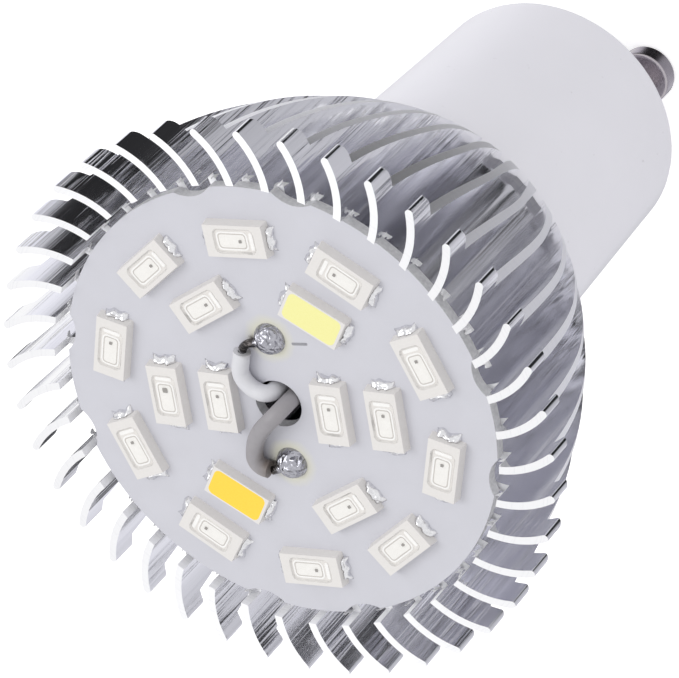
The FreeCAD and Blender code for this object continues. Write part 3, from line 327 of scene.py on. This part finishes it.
# The grey gap ring is painted shade: the crevice between pad and moulding, coloured grey.
CUP_PAINTED_SHADE_GAPS = ((0.22, 2.52, 1.32, 0.172, 0.203, 0.3),)
CUP_PADS = ((0.22, 2.32, 1.12, 0.182, 0.206, 0.24),)
DIE_SIDE = 0.24
LARGE_DIE_SIDE = 0.408
LARGE_DIE_LED = 14
DIE_PLACE = -0.5
DIE_LEVELS = (0.21, 0.28)
DIE_CORNER = 0.04
PAD_RIPPLES_PER_MM = 2.5
DIE_SPECKS_PER_MM = 12.0


def led_axes(number):
    """The middle of an LED on the board, its long direction and its inward direction."""
    ring, angle = LED_RINGS[number - 1]
    x, y = turn(ring, 0, BOARD_TURN + angle)
    ux, uy = turn(0, 1, BOARD_TURN + angle)
    return Vector((x, y, 0)), Vector((ux, uy, 0)), Vector((-uy, ux, 0))


def plate(mesh, middle, long_way, cross_way, length, width, bottom, top, corner):
    """A closed flat plate with round corners; all sizes in millimetres."""
    outline = []
    for sx, sy, first in ((1, 1, 0), (-1, 1, 90), (-1, -1, 180), (1, -1, 270)):
        for step in range(4):
            angle = math.radians(first + 30 * step)
            outline.append((sx * (length / 2 - corner) + corner * math.cos(angle),
                            sy * (width / 2 - corner) + corner * math.sin(angle)))
    rows = []
    for level in (bottom, top):
        rows.append([mesh.verts.new((middle + long_way * a + cross_way * b + Vector((0, 0, level))) * MM)
                     for a, b in outline])
    mesh.faces.new(list(reversed(rows[0])))
    mesh.faces.new(rows[1])
    count = len(outline)
    for i in range(count):
        mesh.faces.new((rows[0][i], rows[0][(i + 1) % count], rows[1][(i + 1) % count], rows[1][i]))


layers = {"floors": CUP_FLOORS, "painted_highlight_rims": CUP_PAINTED_HIGHLIGHT_RIMS, "painted_shade_gaps": CUP_PAINTED_SHADE_GAPS, "pads": CUP_PADS}
meshes = {name: bmesh.new() for name in layers}
dies = bmesh.new()
for number in range(1, LED_COUNT + 1):
    if number in PHOSPHOR_LEDS:
        continue
    middle, long_way, cross_way = led_axes(number)
    long_way = long_way * (1 if number in STRIPE_CLOCKWISE else -1)
    for name, plates in layers.items():
        for along, length, width, bottom, top, corner in plates:
            plate(meshes[name], middle + long_way * along, long_way, cross_way, length, width,
                  CUP_FLOOR + bottom, CUP_FLOOR + top, corner)
    side = LARGE_DIE_SIDE if number == LARGE_DIE_LED else DIE_SIDE
    plate(dies, middle + long_way * DIE_PLACE, long_way, cross_way, side, side,
          CUP_FLOOR + DIE_LEVELS[0], CUP_FLOOR + DIE_LEVELS[1], DIE_CORNER)
for name, piece_name, pale, deep in (
        ("floors", "led_cup_floors", "#E6E2DF", "#ECE9E6"),
        # Painted highlight: these borders are whiter than the package they are moulded from.
        ("painted_highlight_rims", "led_cup_borders", "#FFFFFF", "#FAF9F8"),
        # Painted shade: the gap ring is grey where the crevice round the pad falls into shade.
        ("painted_shade_gaps", "led_pad_gaps", "#BDB7B2", "#C9C4C0")):
    moulded, tree, shader, place = new_material("white_polyphthalamide_" + name)
    grain = add(tree, "TexNoise", {"Vector": place, "Scale": PACKAGE_GRAINS_PER_MM,
                                   "Detail": 3.0}).outputs["Fac"]
    tree.links.new(add(tree, "Mix", {0: grain, 6: linear(pale), 7: linear(deep)},
                       data_type="RGBA").outputs[2], shader.inputs["Base Color"])
    shader.inputs["Roughness"].default_value = 0.5
    new_piece(piece_name, meshes[name], moulded, smooth=False)
silvered_copper, tree, shader, place = new_material("silvered_copper_lead_frame")
ripple = add(tree, "TexNoise", {"Vector": place, "Scale": PAD_RIPPLES_PER_MM, "Detail": 3.0}).outputs["Fac"]
tree.links.new(add(tree, "Mix", {0: ripple, 6: linear("#EFEDEA"), 7: linear("#FBFAF8")},
                   data_type="RGBA").outputs[2], shader.inputs["Base Color"])
tree.links.new(add(tree, "Bump", {"Height": ripple, "Strength": 0.3, "Distance": 0.03 * MM}).outputs[0],
               shader.inputs["Normal"])
shader.inputs["Metallic"].default_value = 0.15  # frosted under the silicone, so it looks white
shader.inputs["Roughness"].default_value = 0.45
pad_piece = new_piece("led_pads", meshes["pads"], silvered_copper, smooth=False)
dark_die, tree, shader, place = new_material("gallium_nitride_die")
speck = add(tree, "TexNoise", {"Vector": place, "Scale": DIE_SPECKS_PER_MM}).outputs["Fac"]
tree.links.new(add(tree, "Mix", {0: speck, 6: linear("#6E6A66"), 7: linear("#8E8A86")},
                   data_type="RGBA").outputs[2], shader.inputs["Base Color"])
shader.inputs["Roughness"].default_value = 0.3
die_piece = new_piece("led_dies", dies, dark_die, smooth=False)


# LED encapsulants.  Clear silicone poured level with the package lets the silvered cup show; in
# two LEDs the silicone is loaded with phosphor, pale yellow in one and orange in the other.
SILICONE_ALPHA = (0.16, 0.24)
SILICONE_SWIRLS_PER_MM = 1.5
PHOSPHOR_GRITS_PER_MM = 7.0
clear_silicone, tree, shader, place = new_material("clear_silicone_poured")
swirl = add(tree, "TexNoise", {"Vector": place, "Scale": SILICONE_SWIRLS_PER_MM,
                               "Detail": 2.0}).outputs["Fac"]
tree.links.new(add(tree, "Mix", {0: swirl, 6: linear("#EDEBE7"), 7: linear("#F6F4F0")},
                   data_type="RGBA").outputs[2], shader.inputs["Base Color"])
tree.links.new(add(tree, "MapRange", {0: swirl, 3: SILICONE_ALPHA[0], 4: SILICONE_ALPHA[1]}).outputs[0],
               shader.inputs["Alpha"])
shader.inputs["Roughness"].default_value = 0.12
shader.inputs["IOR"].default_value = 1.41
for number in range(1, LED_COUNT + 1):
    if number not in PHOSPHOR_LEDS:
        dress(clear_silicone, "encapsulant_%02d" % number)
for number, name, pale, deep in ((12, "yellow_phosphor_in_silicone", "#F4F1AE", "#EFEA96"),
                                 (15, "orange_phosphor_in_silicone", "#FFDB4C", "#FFD038")):
    phosphor, tree, shader, place = new_material(name)
    grit = add(tree, "TexNoise", {"Vector": place, "Scale": PHOSPHOR_GRITS_PER_MM,
                                  "Detail": 4.0}).outputs["Fac"]
    tree.links.new(add(tree, "Mix", {0: grit, 6: linear(pale), 7: linear(deep)},
                       data_type="RGBA").outputs[2], shader.inputs["Base Color"])
    tree.links.new(add(tree, "Bump", {"Height": grit, "Strength": 0.3, "Distance": 0.02 * MM}).outputs[0],
                   shader.inputs["Normal"])
    shader.inputs["Roughness"].default_value = 0.35
    dress(phosphor, "encapsulant_%02d" % number)


# Terminal solder.  Each LED's two tinned terminals are soldered to the board by hand-placed
# solder that set in small shiny lumps.  The solder is a tin alloy, bright and uneven.
PACKAGE_END = 2.7  # from an LED's middle
TERMINAL_WIDTH = 2.1
TERMINAL_REACH = 0.72
TERMINAL_HEIGHT = 0.62
LUMP_COLUMNS = 14
LUMP_ROWS = 7
SOLDER_LUMPS_PER_MM = 1.3
SOLDER_FROST_PER_MM = 5.0


def lump(mesh, middle, out_way, side_way, seed):
    """A closed uneven fillet of solder against an LED's end; the seed makes each one different."""
    grid = []
    for i in range(LUMP_COLUMNS + 1):
        across = (i / LUMP_COLUMNS - 0.5) * TERMINAL_WIDTH
        line = []
        for j in range(LUMP_ROWS + 1):
            out = j / LUMP_ROWS
            rise = math.cos(out * math.pi / 2) ** 0.6 * (1 - (2 * abs(across) / TERMINAL_WIDTH) ** 6)
            spread = TERMINAL_REACH * (0.72 + 0.5 * noise.noise(Vector((across * 1.6, seed, 0.3))))
            bumps = 0.45 * noise.noise(Vector((across * 3.1, out * TERMINAL_REACH * 3.1, seed * 1.7)))
            level = BOARD_TOP + 0.005 + max(0.0, TERMINAL_HEIGHT * rise * (0.85 + bumps))
            line.append(middle + side_way * across + out_way * (out * spread) + Vector((0, 0, level)))
        grid.append(line)
    foot = [[Vector((point.x, point.y, BOARD_TOP + 0.001)) for point in line] for line in grid]
    close_grids(mesh, grid, foot)


terminal_solder = bmesh.new()
for number in range(1, LED_COUNT + 1):
    middle, long_way, cross_way = led_axes(number)
    for end in (1, -1):
        lump(terminal_solder, middle + long_way * end * PACKAGE_END, long_way * end, cross_way * end,
             number * 2.3 + end)
bright_solder, tree, shader, place = new_material("tin_solder_hand_made")
lumps = add(tree, "TexNoise", {"Vector": place, "Scale": SOLDER_LUMPS_PER_MM, "Detail": 2.0}).outputs["Fac"]
frost = add(tree, "TexNoise", {"Vector": place, "Scale": SOLDER_FROST_PER_MM, "Detail": 2.0}).outputs["Fac"]
tree.links.new(add(tree, "Mix", {0: frost, 6: linear("#C8C8CC"), 7: linear("#F6F6F8")},
                   data_type="RGBA").outputs[2], shader.inputs["Base Color"])
tree.links.new(add(tree, "MapRange", {0: frost, 1: 0.3, 2: 0.7, 3: 0.08, 4: 0.22}).outputs[0],
               shader.inputs["Roughness"])
tree.links.new(add(tree, "Bump", {"Height": lumps, "Strength": 0.6, "Distance": 0.1 * MM}).outputs[0],
               shader.inputs["Normal"])
shader.inputs["Metallic"].default_value = 1.0
solder_piece = new_piece("terminal_solder", terminal_solder, bright_solder)
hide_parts("led_terminals")


# Solder joints of the supply leads.  Domes of the same tin solder, made with an iron on two pads
# of the board and set in crinkles, with the lead's tinned strands running into them.
JOINT_FOLDS_PER_MM = 1.1
JOINT_WRINKLES_PER_MM = 4.0
FOLD_DEPTH = 0.6
WRINKLE_DEPTH = 0.04
SCORCHED_PLACE = (1.75, 0.15, 0.6)  # on the strands, from the joint's middle on the board
SCORCHED_REACH = (1.25, 1.7)
crinkled_solder, tree, shader, place = new_material("tin_solder_crinkled")
folds = add(tree, "TexNoise", {"Vector": place, "Scale": JOINT_FOLDS_PER_MM, "Detail": 1.0,
                               "Distortion": 1.0}).outputs["Fac"]
wrinkles = add(tree, "TexNoise", {"Vector": place, "Scale": JOINT_WRINKLES_PER_MM,
                                  "Detail": 2.0}).outputs["Fac"]
colour = add(tree, "Mix", {0: wrinkles, 6: linear("#84848C"), 7: linear("#CACAD2")},
             data_type="RGBA").outputs[2]
for x, y in JOINTS:
    scorched = (x - SCORCHED_PLACE[0], y - SCORCHED_PLACE[1], BOARD_TOP + SCORCHED_PLACE[2])
    away = add(tree, "VectorMath", {0: place, 1: scorched}, operation="DISTANCE").outputs["Value"]
    uneven = add(tree, "Math", {0: wrinkles, 1: 1.0, 2: away}, operation="MULTIPLY_ADD").outputs[0]
    burnt = add(tree, "MapRange", {0: uneven, 1: SCORCHED_REACH[0], 2: SCORCHED_REACH[1],
                                   3: 0.92, 4: 0.0}).outputs[0]
    colour = add(tree, "Mix", {0: burnt, 6: colour, 7: linear("#38332F")}, data_type="RGBA").outputs[2]
tree.links.new(colour, shader.inputs["Base Color"])
rough = add(tree, "Bump", {"Height": folds, "Strength": 1.0, "Distance": FOLD_DEPTH * MM}).outputs[0]
tree.links.new(add(tree, "Bump", {"Height": wrinkles, "Strength": 1.0, "Distance": WRINKLE_DEPTH * MM,
                                  "Normal": rough}).outputs[0], shader.inputs["Normal"])
shader.inputs["Metallic"].default_value = 1.0
shader.inputs["Roughness"].default_value = 0.16
dress(crinkled_solder, "solder_joint_a", "solder_joint_b")


# Polarity mark.  A short minus sign beside the upper joint, printed on the board in black ink
# that has worn to a matt grey.
MARK_PLACE = (2.89, 5.64)
MARK_LENGTH = 1.4
MARK_WIDTH = 0.24
MARK_CORNER = 0.08
MARK_SLANT = 0.09
INK_LEVELS = (0.001, 0.012)  # over the board
INK_SPECKS_PER_MM = 8.0
black_ink, tree, shader, place = new_material("black_ink_printed")
wear = add(tree, "TexNoise", {"Vector": place, "Scale": INK_SPECKS_PER_MM, "Detail": 3.0}).outputs["Fac"]
tree.links.new(add(tree, "Mix", {0: wear, 6: linear("#84848A"), 7: linear("#A4A4AA")},
                   data_type="RGBA").outputs[2], shader.inputs["Base Color"])
shader.inputs["Roughness"].default_value = 0.6
minus = bmesh.new()
mark_x, mark_y = turn(*MARK_PLACE, BOARD_TURN)
way_x, way_y = turn(1, MARK_SLANT, BOARD_TURN)
plate(minus, Vector((mark_x, mark_y, 0)), Vector((way_x, way_y, 0)), Vector((-way_y, way_x, 0)),
      MARK_LENGTH, MARK_WIDTH, BOARD_TOP + INK_LEVELS[0], BOARD_TOP + INK_LEVELS[1], MARK_CORNER)
minus_piece = new_piece("polarity_mark", minus, black_ink, smooth=False)


# Supply leads.  Stranded copper in soft silicone rubber, one white and one grey, which come up
# through the wire hole and lie over the board to their joints, where the iron scorched them.
# The short mains leads inside the housing are the white kind.
LEAD_SMUDGES_PER_MM = 0.8
RUBBER_GRAINS_PER_MM = 10.0
SCORCH_FADE = 1.0
for name, leads, pale, deep, joint, scorch in (
        ("white_silicone_rubber", ("supply_lead_a", "mains_lead_a", "mains_lead_b"),
         "#DCDCE0", "#CFCFD5", JOINTS[0], 2.3),
        ("grey_silicone_rubber", ("supply_lead_b",), "#A19EA2", "#8E8B8F", JOINTS[1], 2.6)):
    rubber, tree, shader, place = new_material(name)
    smudge = add(tree, "TexNoise", {"Vector": place, "Scale": LEAD_SMUDGES_PER_MM,
                                    "Detail": 4.0}).outputs["Fac"]
    skin = add(tree, "TexNoise", {"Vector": place, "Scale": RUBBER_GRAINS_PER_MM,
                                  "Detail": 2.0}).outputs["Fac"]
    colour = add(tree, "Mix", {0: smudge, 6: linear(pale), 7: linear(deep)}, data_type="RGBA").outputs[2]
    away = add(tree, "VectorMath", {0: place, 1: (*joint, BOARD_TOP)},
               operation="DISTANCE").outputs["Value"]
    uneven = add(tree, "Math", {0: smudge, 1: 1.2, 2: away}, operation="MULTIPLY_ADD").outputs[0]
    burnt = add(tree, "MapRange", {0: uneven, 1: scorch, 2: scorch + SCORCH_FADE,
                                   3: 0.85, 4: 0.0}).outputs[0]
    tree.links.new(add(tree, "Mix", {0: burnt, 6: colour, 7: linear("#6A5F58")},
                       data_type="RGBA").outputs[2], shader.inputs["Base Color"])
    tree.links.new(add(tree, "Bump", {"Height": skin, "Strength": 0.2, "Distance": 0.02 * MM}).outputs[0],
                   shader.inputs["Normal"])
    shader.inputs["Roughness"].default_value = 0.45
    dress(rubber, *leads)


# Heat paste.  A smear of white silicone grease, pressed out to a thin even film between the
# board and the heat sink; dull white where it shows.
SMEARS_PER_MM = 0.6
heat_paste, tree, shader, place = new_material("white_silicone_grease")
smear = add(tree, "TexNoise", {"Vector": place, "Scale": SMEARS_PER_MM, "Detail": 5.0}).outputs["Fac"]
tree.links.new(add(tree, "Mix", {0: smear, 6: linear("#DADAD8"), 7: linear("#EDEDEB")},
                   data_type="RGBA").outputs[2], shader.inputs["Base Color"])
shader.inputs["Roughness"].default_value = 0.5
dress(heat_paste, "thermal_paste")


# Housing.  One piece of white polycarbonate, moulded with a fine satin skin: barrel, pin boss
# and the sleeve that is screwed up inside the heat sink.  A few dust specks cling to it.
CLOUDS_PER_MM = 0.12
SKIN_GRAINS_PER_MM = 4.0
DUST_PER_MM = 1.6
white_housing, tree, shader, place = new_material("white_polycarbonate_moulded")
cloud = add(tree, "TexNoise", {"Vector": place, "Scale": CLOUDS_PER_MM, "Detail": 3.0}).outputs["Fac"]
skin = add(tree, "TexNoise", {"Vector": place, "Scale": SKIN_GRAINS_PER_MM, "Detail": 3.0}).outputs["Fac"]
dust = add(tree, "TexNoise", {"Vector": place, "Scale": DUST_PER_MM, "Detail": 6.0}).outputs["Fac"]
specks = add(tree, "MapRange", {0: dust, 1: 0.7, 2: 0.76, 3: 0.0, 4: 0.35}).outputs[0]
colour = add(tree, "Mix", {0: cloud, 6: linear("#E6E5EC"), 7: linear("#ECEBF2")},
             data_type="RGBA").outputs[2]
tree.links.new(add(tree, "Mix", {0: specks, 6: colour, 7: linear("#B9B6BC")},
                   data_type="RGBA").outputs[2], shader.inputs["Base Color"])
tree.links.new(add(tree, "MapRange", {0: skin, 3: 0.34, 4: 0.44}).outputs[0], shader.inputs["Roughness"])
tree.links.new(add(tree, "Bump", {"Height": skin, "Strength": 0.12, "Distance": 0.03 * MM}).outputs[0],
               shader.inputs["Normal"])
dress(white_housing, "base_housing")


# Contact pins.  Turned brass with a mushroom head, nickel plated, riveted through the cap.  The
# plating is a warm grey, with tool marks round it and patches of tarnish.
TOOL_MARKS_PER_MM = 9.0
TARNISH_PER_MM = 0.9
nickel, tree, shader, place = new_material("nickel_plated_brass_turned")
ring_place = add(tree, "VectorMath", {0: place, 1: (0.05, 0.05, 1)}, operation="MULTIPLY").outputs[0]
tool_marks = add(tree, "TexNoise", {"Vector": ring_place, "Scale": TOOL_MARKS_PER_MM,
                                    "Detail": 2.0}).outputs["Fac"]
tarnish = add(tree, "TexNoise", {"Vector": place, "Scale": TARNISH_PER_MM, "Detail": 4.0}).outputs["Fac"]
tree.links.new(add(tree, "Mix", {0: tarnish, 6: linear("#A09AA0"), 7: linear("#C8C2C7")},
                   data_type="RGBA").outputs[2], shader.inputs["Base Color"])
tree.links.new(add(tree, "MapRange", {0: tarnish, 3: 0.18, 4: 0.34}).outputs[0], shader.inputs["Roughness"])
tree.links.new(add(tree, "Bump", {"Height": tool_marks, "Strength": 0.3, "Distance": 0.02 * MM}).outputs[0],
               shader.inputs["Normal"])
shader.inputs["Metallic"].default_value = 1.0
dress(nickel, "contact_pin_a", "contact_pin_b")


# Fixing screws.  Two countersunk self-tapping steel screws under the board, which hold the heat
# sink to the housing.  Their zinc plating is a cloudy pale grey.
ZINC_CLOUDS_PER_MM = 1.4
zinc, tree, shader, place = new_material("zinc_plated_steel")
cloud = add(tree, "TexNoise", {"Vector": place, "Scale": ZINC_CLOUDS_PER_MM, "Detail": 4.0}).outputs["Fac"]
tree.links.new(add(tree, "Mix", {0: cloud, 6: linear("#B6BABF"), 7: linear("#D3D6D9")},
                   data_type="RGBA").outputs[2], shader.inputs["Base Color"])
tree.links.new(add(tree, "MapRange", {0: cloud, 3: 0.25, 4: 0.4}).outputs[0], shader.inputs["Roughness"])
shader.inputs["Metallic"].default_value = 1.0
dress(zinc, "fixing_screws")


# Driver.  A glass-epoxy board that stands in the housing with its parts: moulded epoxy chips,
# sleeved capacitors, a lacquered fusible resistor and a taped transformer on a ferrite core.
for name, pale, deep, scale, rough, metallic, pieces in (
        ("glass_epoxy_laminate", "#5E7F4A", "#4B6B3A", 0.9, 0.4, 0.0, ("driver_board",)),
        ("black_epoxy_moulded", "#2A2A2C", "#1E1E20", 3.0, 0.5, 0.0,
         ("rectifier", "control_chip", "transformer_bobbin")),
        ("shrunk_pvc_sleeve", "#23262F", "#191C24", 1.2, 0.3, 0.0, ("bulk_capacitor", "output_capacitor")),
        ("lacquer_on_ceramic", "#7FA08C", "#6C8C79", 2.0, 0.35, 0.0, ("fuse_resistor",)),
        ("sintered_ferrite_ground", "#3A3A3D", "#2C2C2F", 2.5, 0.55, 0.0, ("transformer_core",)),
        ("polyester_tape_on_winding", "#D9B93A", "#C9A62C", 1.5, 0.3, 0.0, ("transformer_coil",))):
    finish, tree, shader, place = new_material(name)
    patch = add(tree, "TexNoise", {"Vector": place, "Scale": scale, "Detail": 4.0}).outputs["Fac"]
    tree.links.new(add(tree, "Mix", {0: patch, 6: linear(pale), 7: linear(deep)},
                       data_type="RGBA").outputs[2], shader.inputs["Base Color"])
    tree.links.new(add(tree, "Bump", {"Height": patch, "Strength": 0.2, "Distance": 0.03 * MM}).outputs[0],
                   shader.inputs["Normal"])
    shader.inputs["Roughness"].default_value = rough
    shader.inputs["Metallic"].default_value = metallic
    dress(finish, *pieces)


# Studio.  A pale floor under the pins and even white light all round.  Shiny metal mirrors a white
# room above and, low down, pale cards with a dark gap by the camera and one behind the lamp.
FLOOR_HALF = 3.0  # metres, as are the other sizes of the studio
FLOOR_GAP = 0.00005
AMBIENT = (0.87, 0.87, 0.87, 1)
WHITE = (1, 1, 1, 1)
# What shiny metal mirrors low down: compass direction in degrees and grey, faintly blue.
ROOM_CARDS = ((-170, 0.75), (-160, 0.05), (-118, 0.05), (-106, 0.8), (-50, 0.6), (30, 0.45),
              (48, 0.03), (112, 0.02), (120, 0.15), (130, 0.78), (146, 0.88))
CARD_BLUE = 1.08
WHITE_FROM = 170
ROOM_LOW = -0.3  # heights in the room between which the cards give way to white
ROOM_HIGH = 0.12
KEY_SIZE = 0.5
KEY_POWER = 1.5
KEY_PLACE = Vector((-0.307, 0.301, 0.65))
KEY_AIM = Vector((0, 0, 0.045))
floor_mesh = bmesh.new()
for x, y in ((-1, -1), (1, -1), (1, 1), (-1, 1)):
    floor_mesh.verts.new((x * FLOOR_HALF, y * FLOOR_HALF, cad_box[0][2] - FLOOR_GAP))
floor_mesh.faces.new(floor_mesh.verts)
floor_data = bpy.data.meshes.new("floor")
floor_mesh.to_mesh(floor_data)
floor_mesh.free()
floor = bpy.data.objects.new("floor", floor_data)
bpy.context.scene.collection.objects.link(floor)
floor.visible_glossy = False
pale_floor = bpy.data.materials.new("pale_studio_paper")
pale_floor.use_nodes = True
tree = pale_floor.node_tree
tree.nodes.remove(tree.nodes["Principled BSDF"])
paper = add(tree, "BsdfDiffuse", {"Color": linear("#F4F4F4")})
seen = add(tree, "LightPath").outputs["Is Camera Ray"]
half = add(tree, "Math", {0: seen, 1: 0.5}, operation="MULTIPLY").outputs[0]
glow = add(tree, "Emission", {"Color": WHITE, "Strength": half})
both = add(tree, "AddShader", {0: paper.outputs[0], 1: glow.outputs[0]})
tree.links.new(both.outputs[0], tree.nodes["Material Output"].inputs["Surface"])
floor_data.materials.append(pale_floor)

world = bpy.data.worlds.new("studio")
bpy.context.scene.world = world
world.use_nodes = True
tree = world.node_tree
direction = add(tree, "TexCoord").outputs["Generated"]
split = add(tree, "SeparateXYZ", {0: direction})
compass = add(tree, "TexGradient", {"Vector": direction}, gradient_type="RADIAL").outputs["Fac"]
room = add(tree, "ValToRGB", {0: compass})
for compass_way, grey in ROOM_CARDS:
    stop = room.color_ramp.elements.new(compass_way / 360 + 0.5)
    stop.color = (grey, grey, grey * CARD_BLUE, 1)
room.color_ramp.elements[0].color = WHITE
room.color_ramp.elements[-1].position = WHITE_FROM / 360 + 0.5
above = add(tree, "MapRange", {0: split.outputs["Z"], 1: ROOM_LOW, 2: ROOM_HIGH}).outputs[0]
mirrored = add(tree, "Mix", {0: above, 6: room.outputs["Color"], 7: WHITE}, data_type="RGBA").outputs[2]
path = add(tree, "LightPath")
lit = add(tree, "Mix", {0: path.outputs["Is Glossy Ray"], 6: AMBIENT, 7: mirrored},
          data_type="RGBA").outputs[2]
shown = add(tree, "Mix", {0: path.outputs["Is Camera Ray"], 6: lit, 7: WHITE},
            data_type="RGBA").outputs[2]
tree.links.new(shown, tree.nodes["Background"].inputs["Color"])

key_data = bpy.data.lights.new("key_softbox", "AREA")
key_data.shape = "DISK"
key_data.size = KEY_SIZE
key_data.energy = KEY_POWER
key = bpy.data.objects.new("key_softbox", key_data)
bpy.context.scene.collection.objects.link(key)
key.location = KEY_PLACE
key.rotation_euler = (KEY_AIM - KEY_PLACE).to_track_quat("-Z", "Y").to_euler()


# Camera.  A long lens about 0.4 m away looks down on the light end, with the cap behind.  Light
# goes to and fro between the fins many times before it reaches the camera.
LENS = 236.8  # both in millimetres
SENSOR = 36.0
LIGHT_BOUNCES = 16
CAMERA_PLACE = Vector((0.1873, 0.1431, 0.3187))
CAMERA_FORWARD = Vector((-0.5240, -0.4000, -0.7519)).normalized()
CAMERA_UP = Vector((0.0061, 0.8811, -0.4730))
camera_data = bpy.data.cameras.new("camera")
camera_data.sensor_fit = "HORIZONTAL"
camera_data.sensor_width = SENSOR
camera_data.lens = LENS
camera = bpy.data.objects.new("camera", camera_data)
bpy.context.scene.collection.objects.link(camera)
right = CAMERA_FORWARD.cross(CAMERA_UP).normalized()
up = right.cross(CAMERA_FORWARD)
camera.matrix_world = Matrix((
    (right.x, up.x, -CAMERA_FORWARD.x, CAMERA_PLACE.x),
    (right.y, up.y, -CAMERA_FORWARD.y, CAMERA_PLACE.y),
    (right.z, up.z, -CAMERA_FORWARD.z, CAMERA_PLACE.z),
    (0, 0, 0, 1)))
bpy.context.scene.camera = camera
bpy.context.scene.cycles.max_bounces = LIGHT_BOUNCES
bpy.context.scene.cycles.glossy_bounces = LIGHT_BOUNCES
bpy.context.scene.view_settings.view_transform = "Standard"
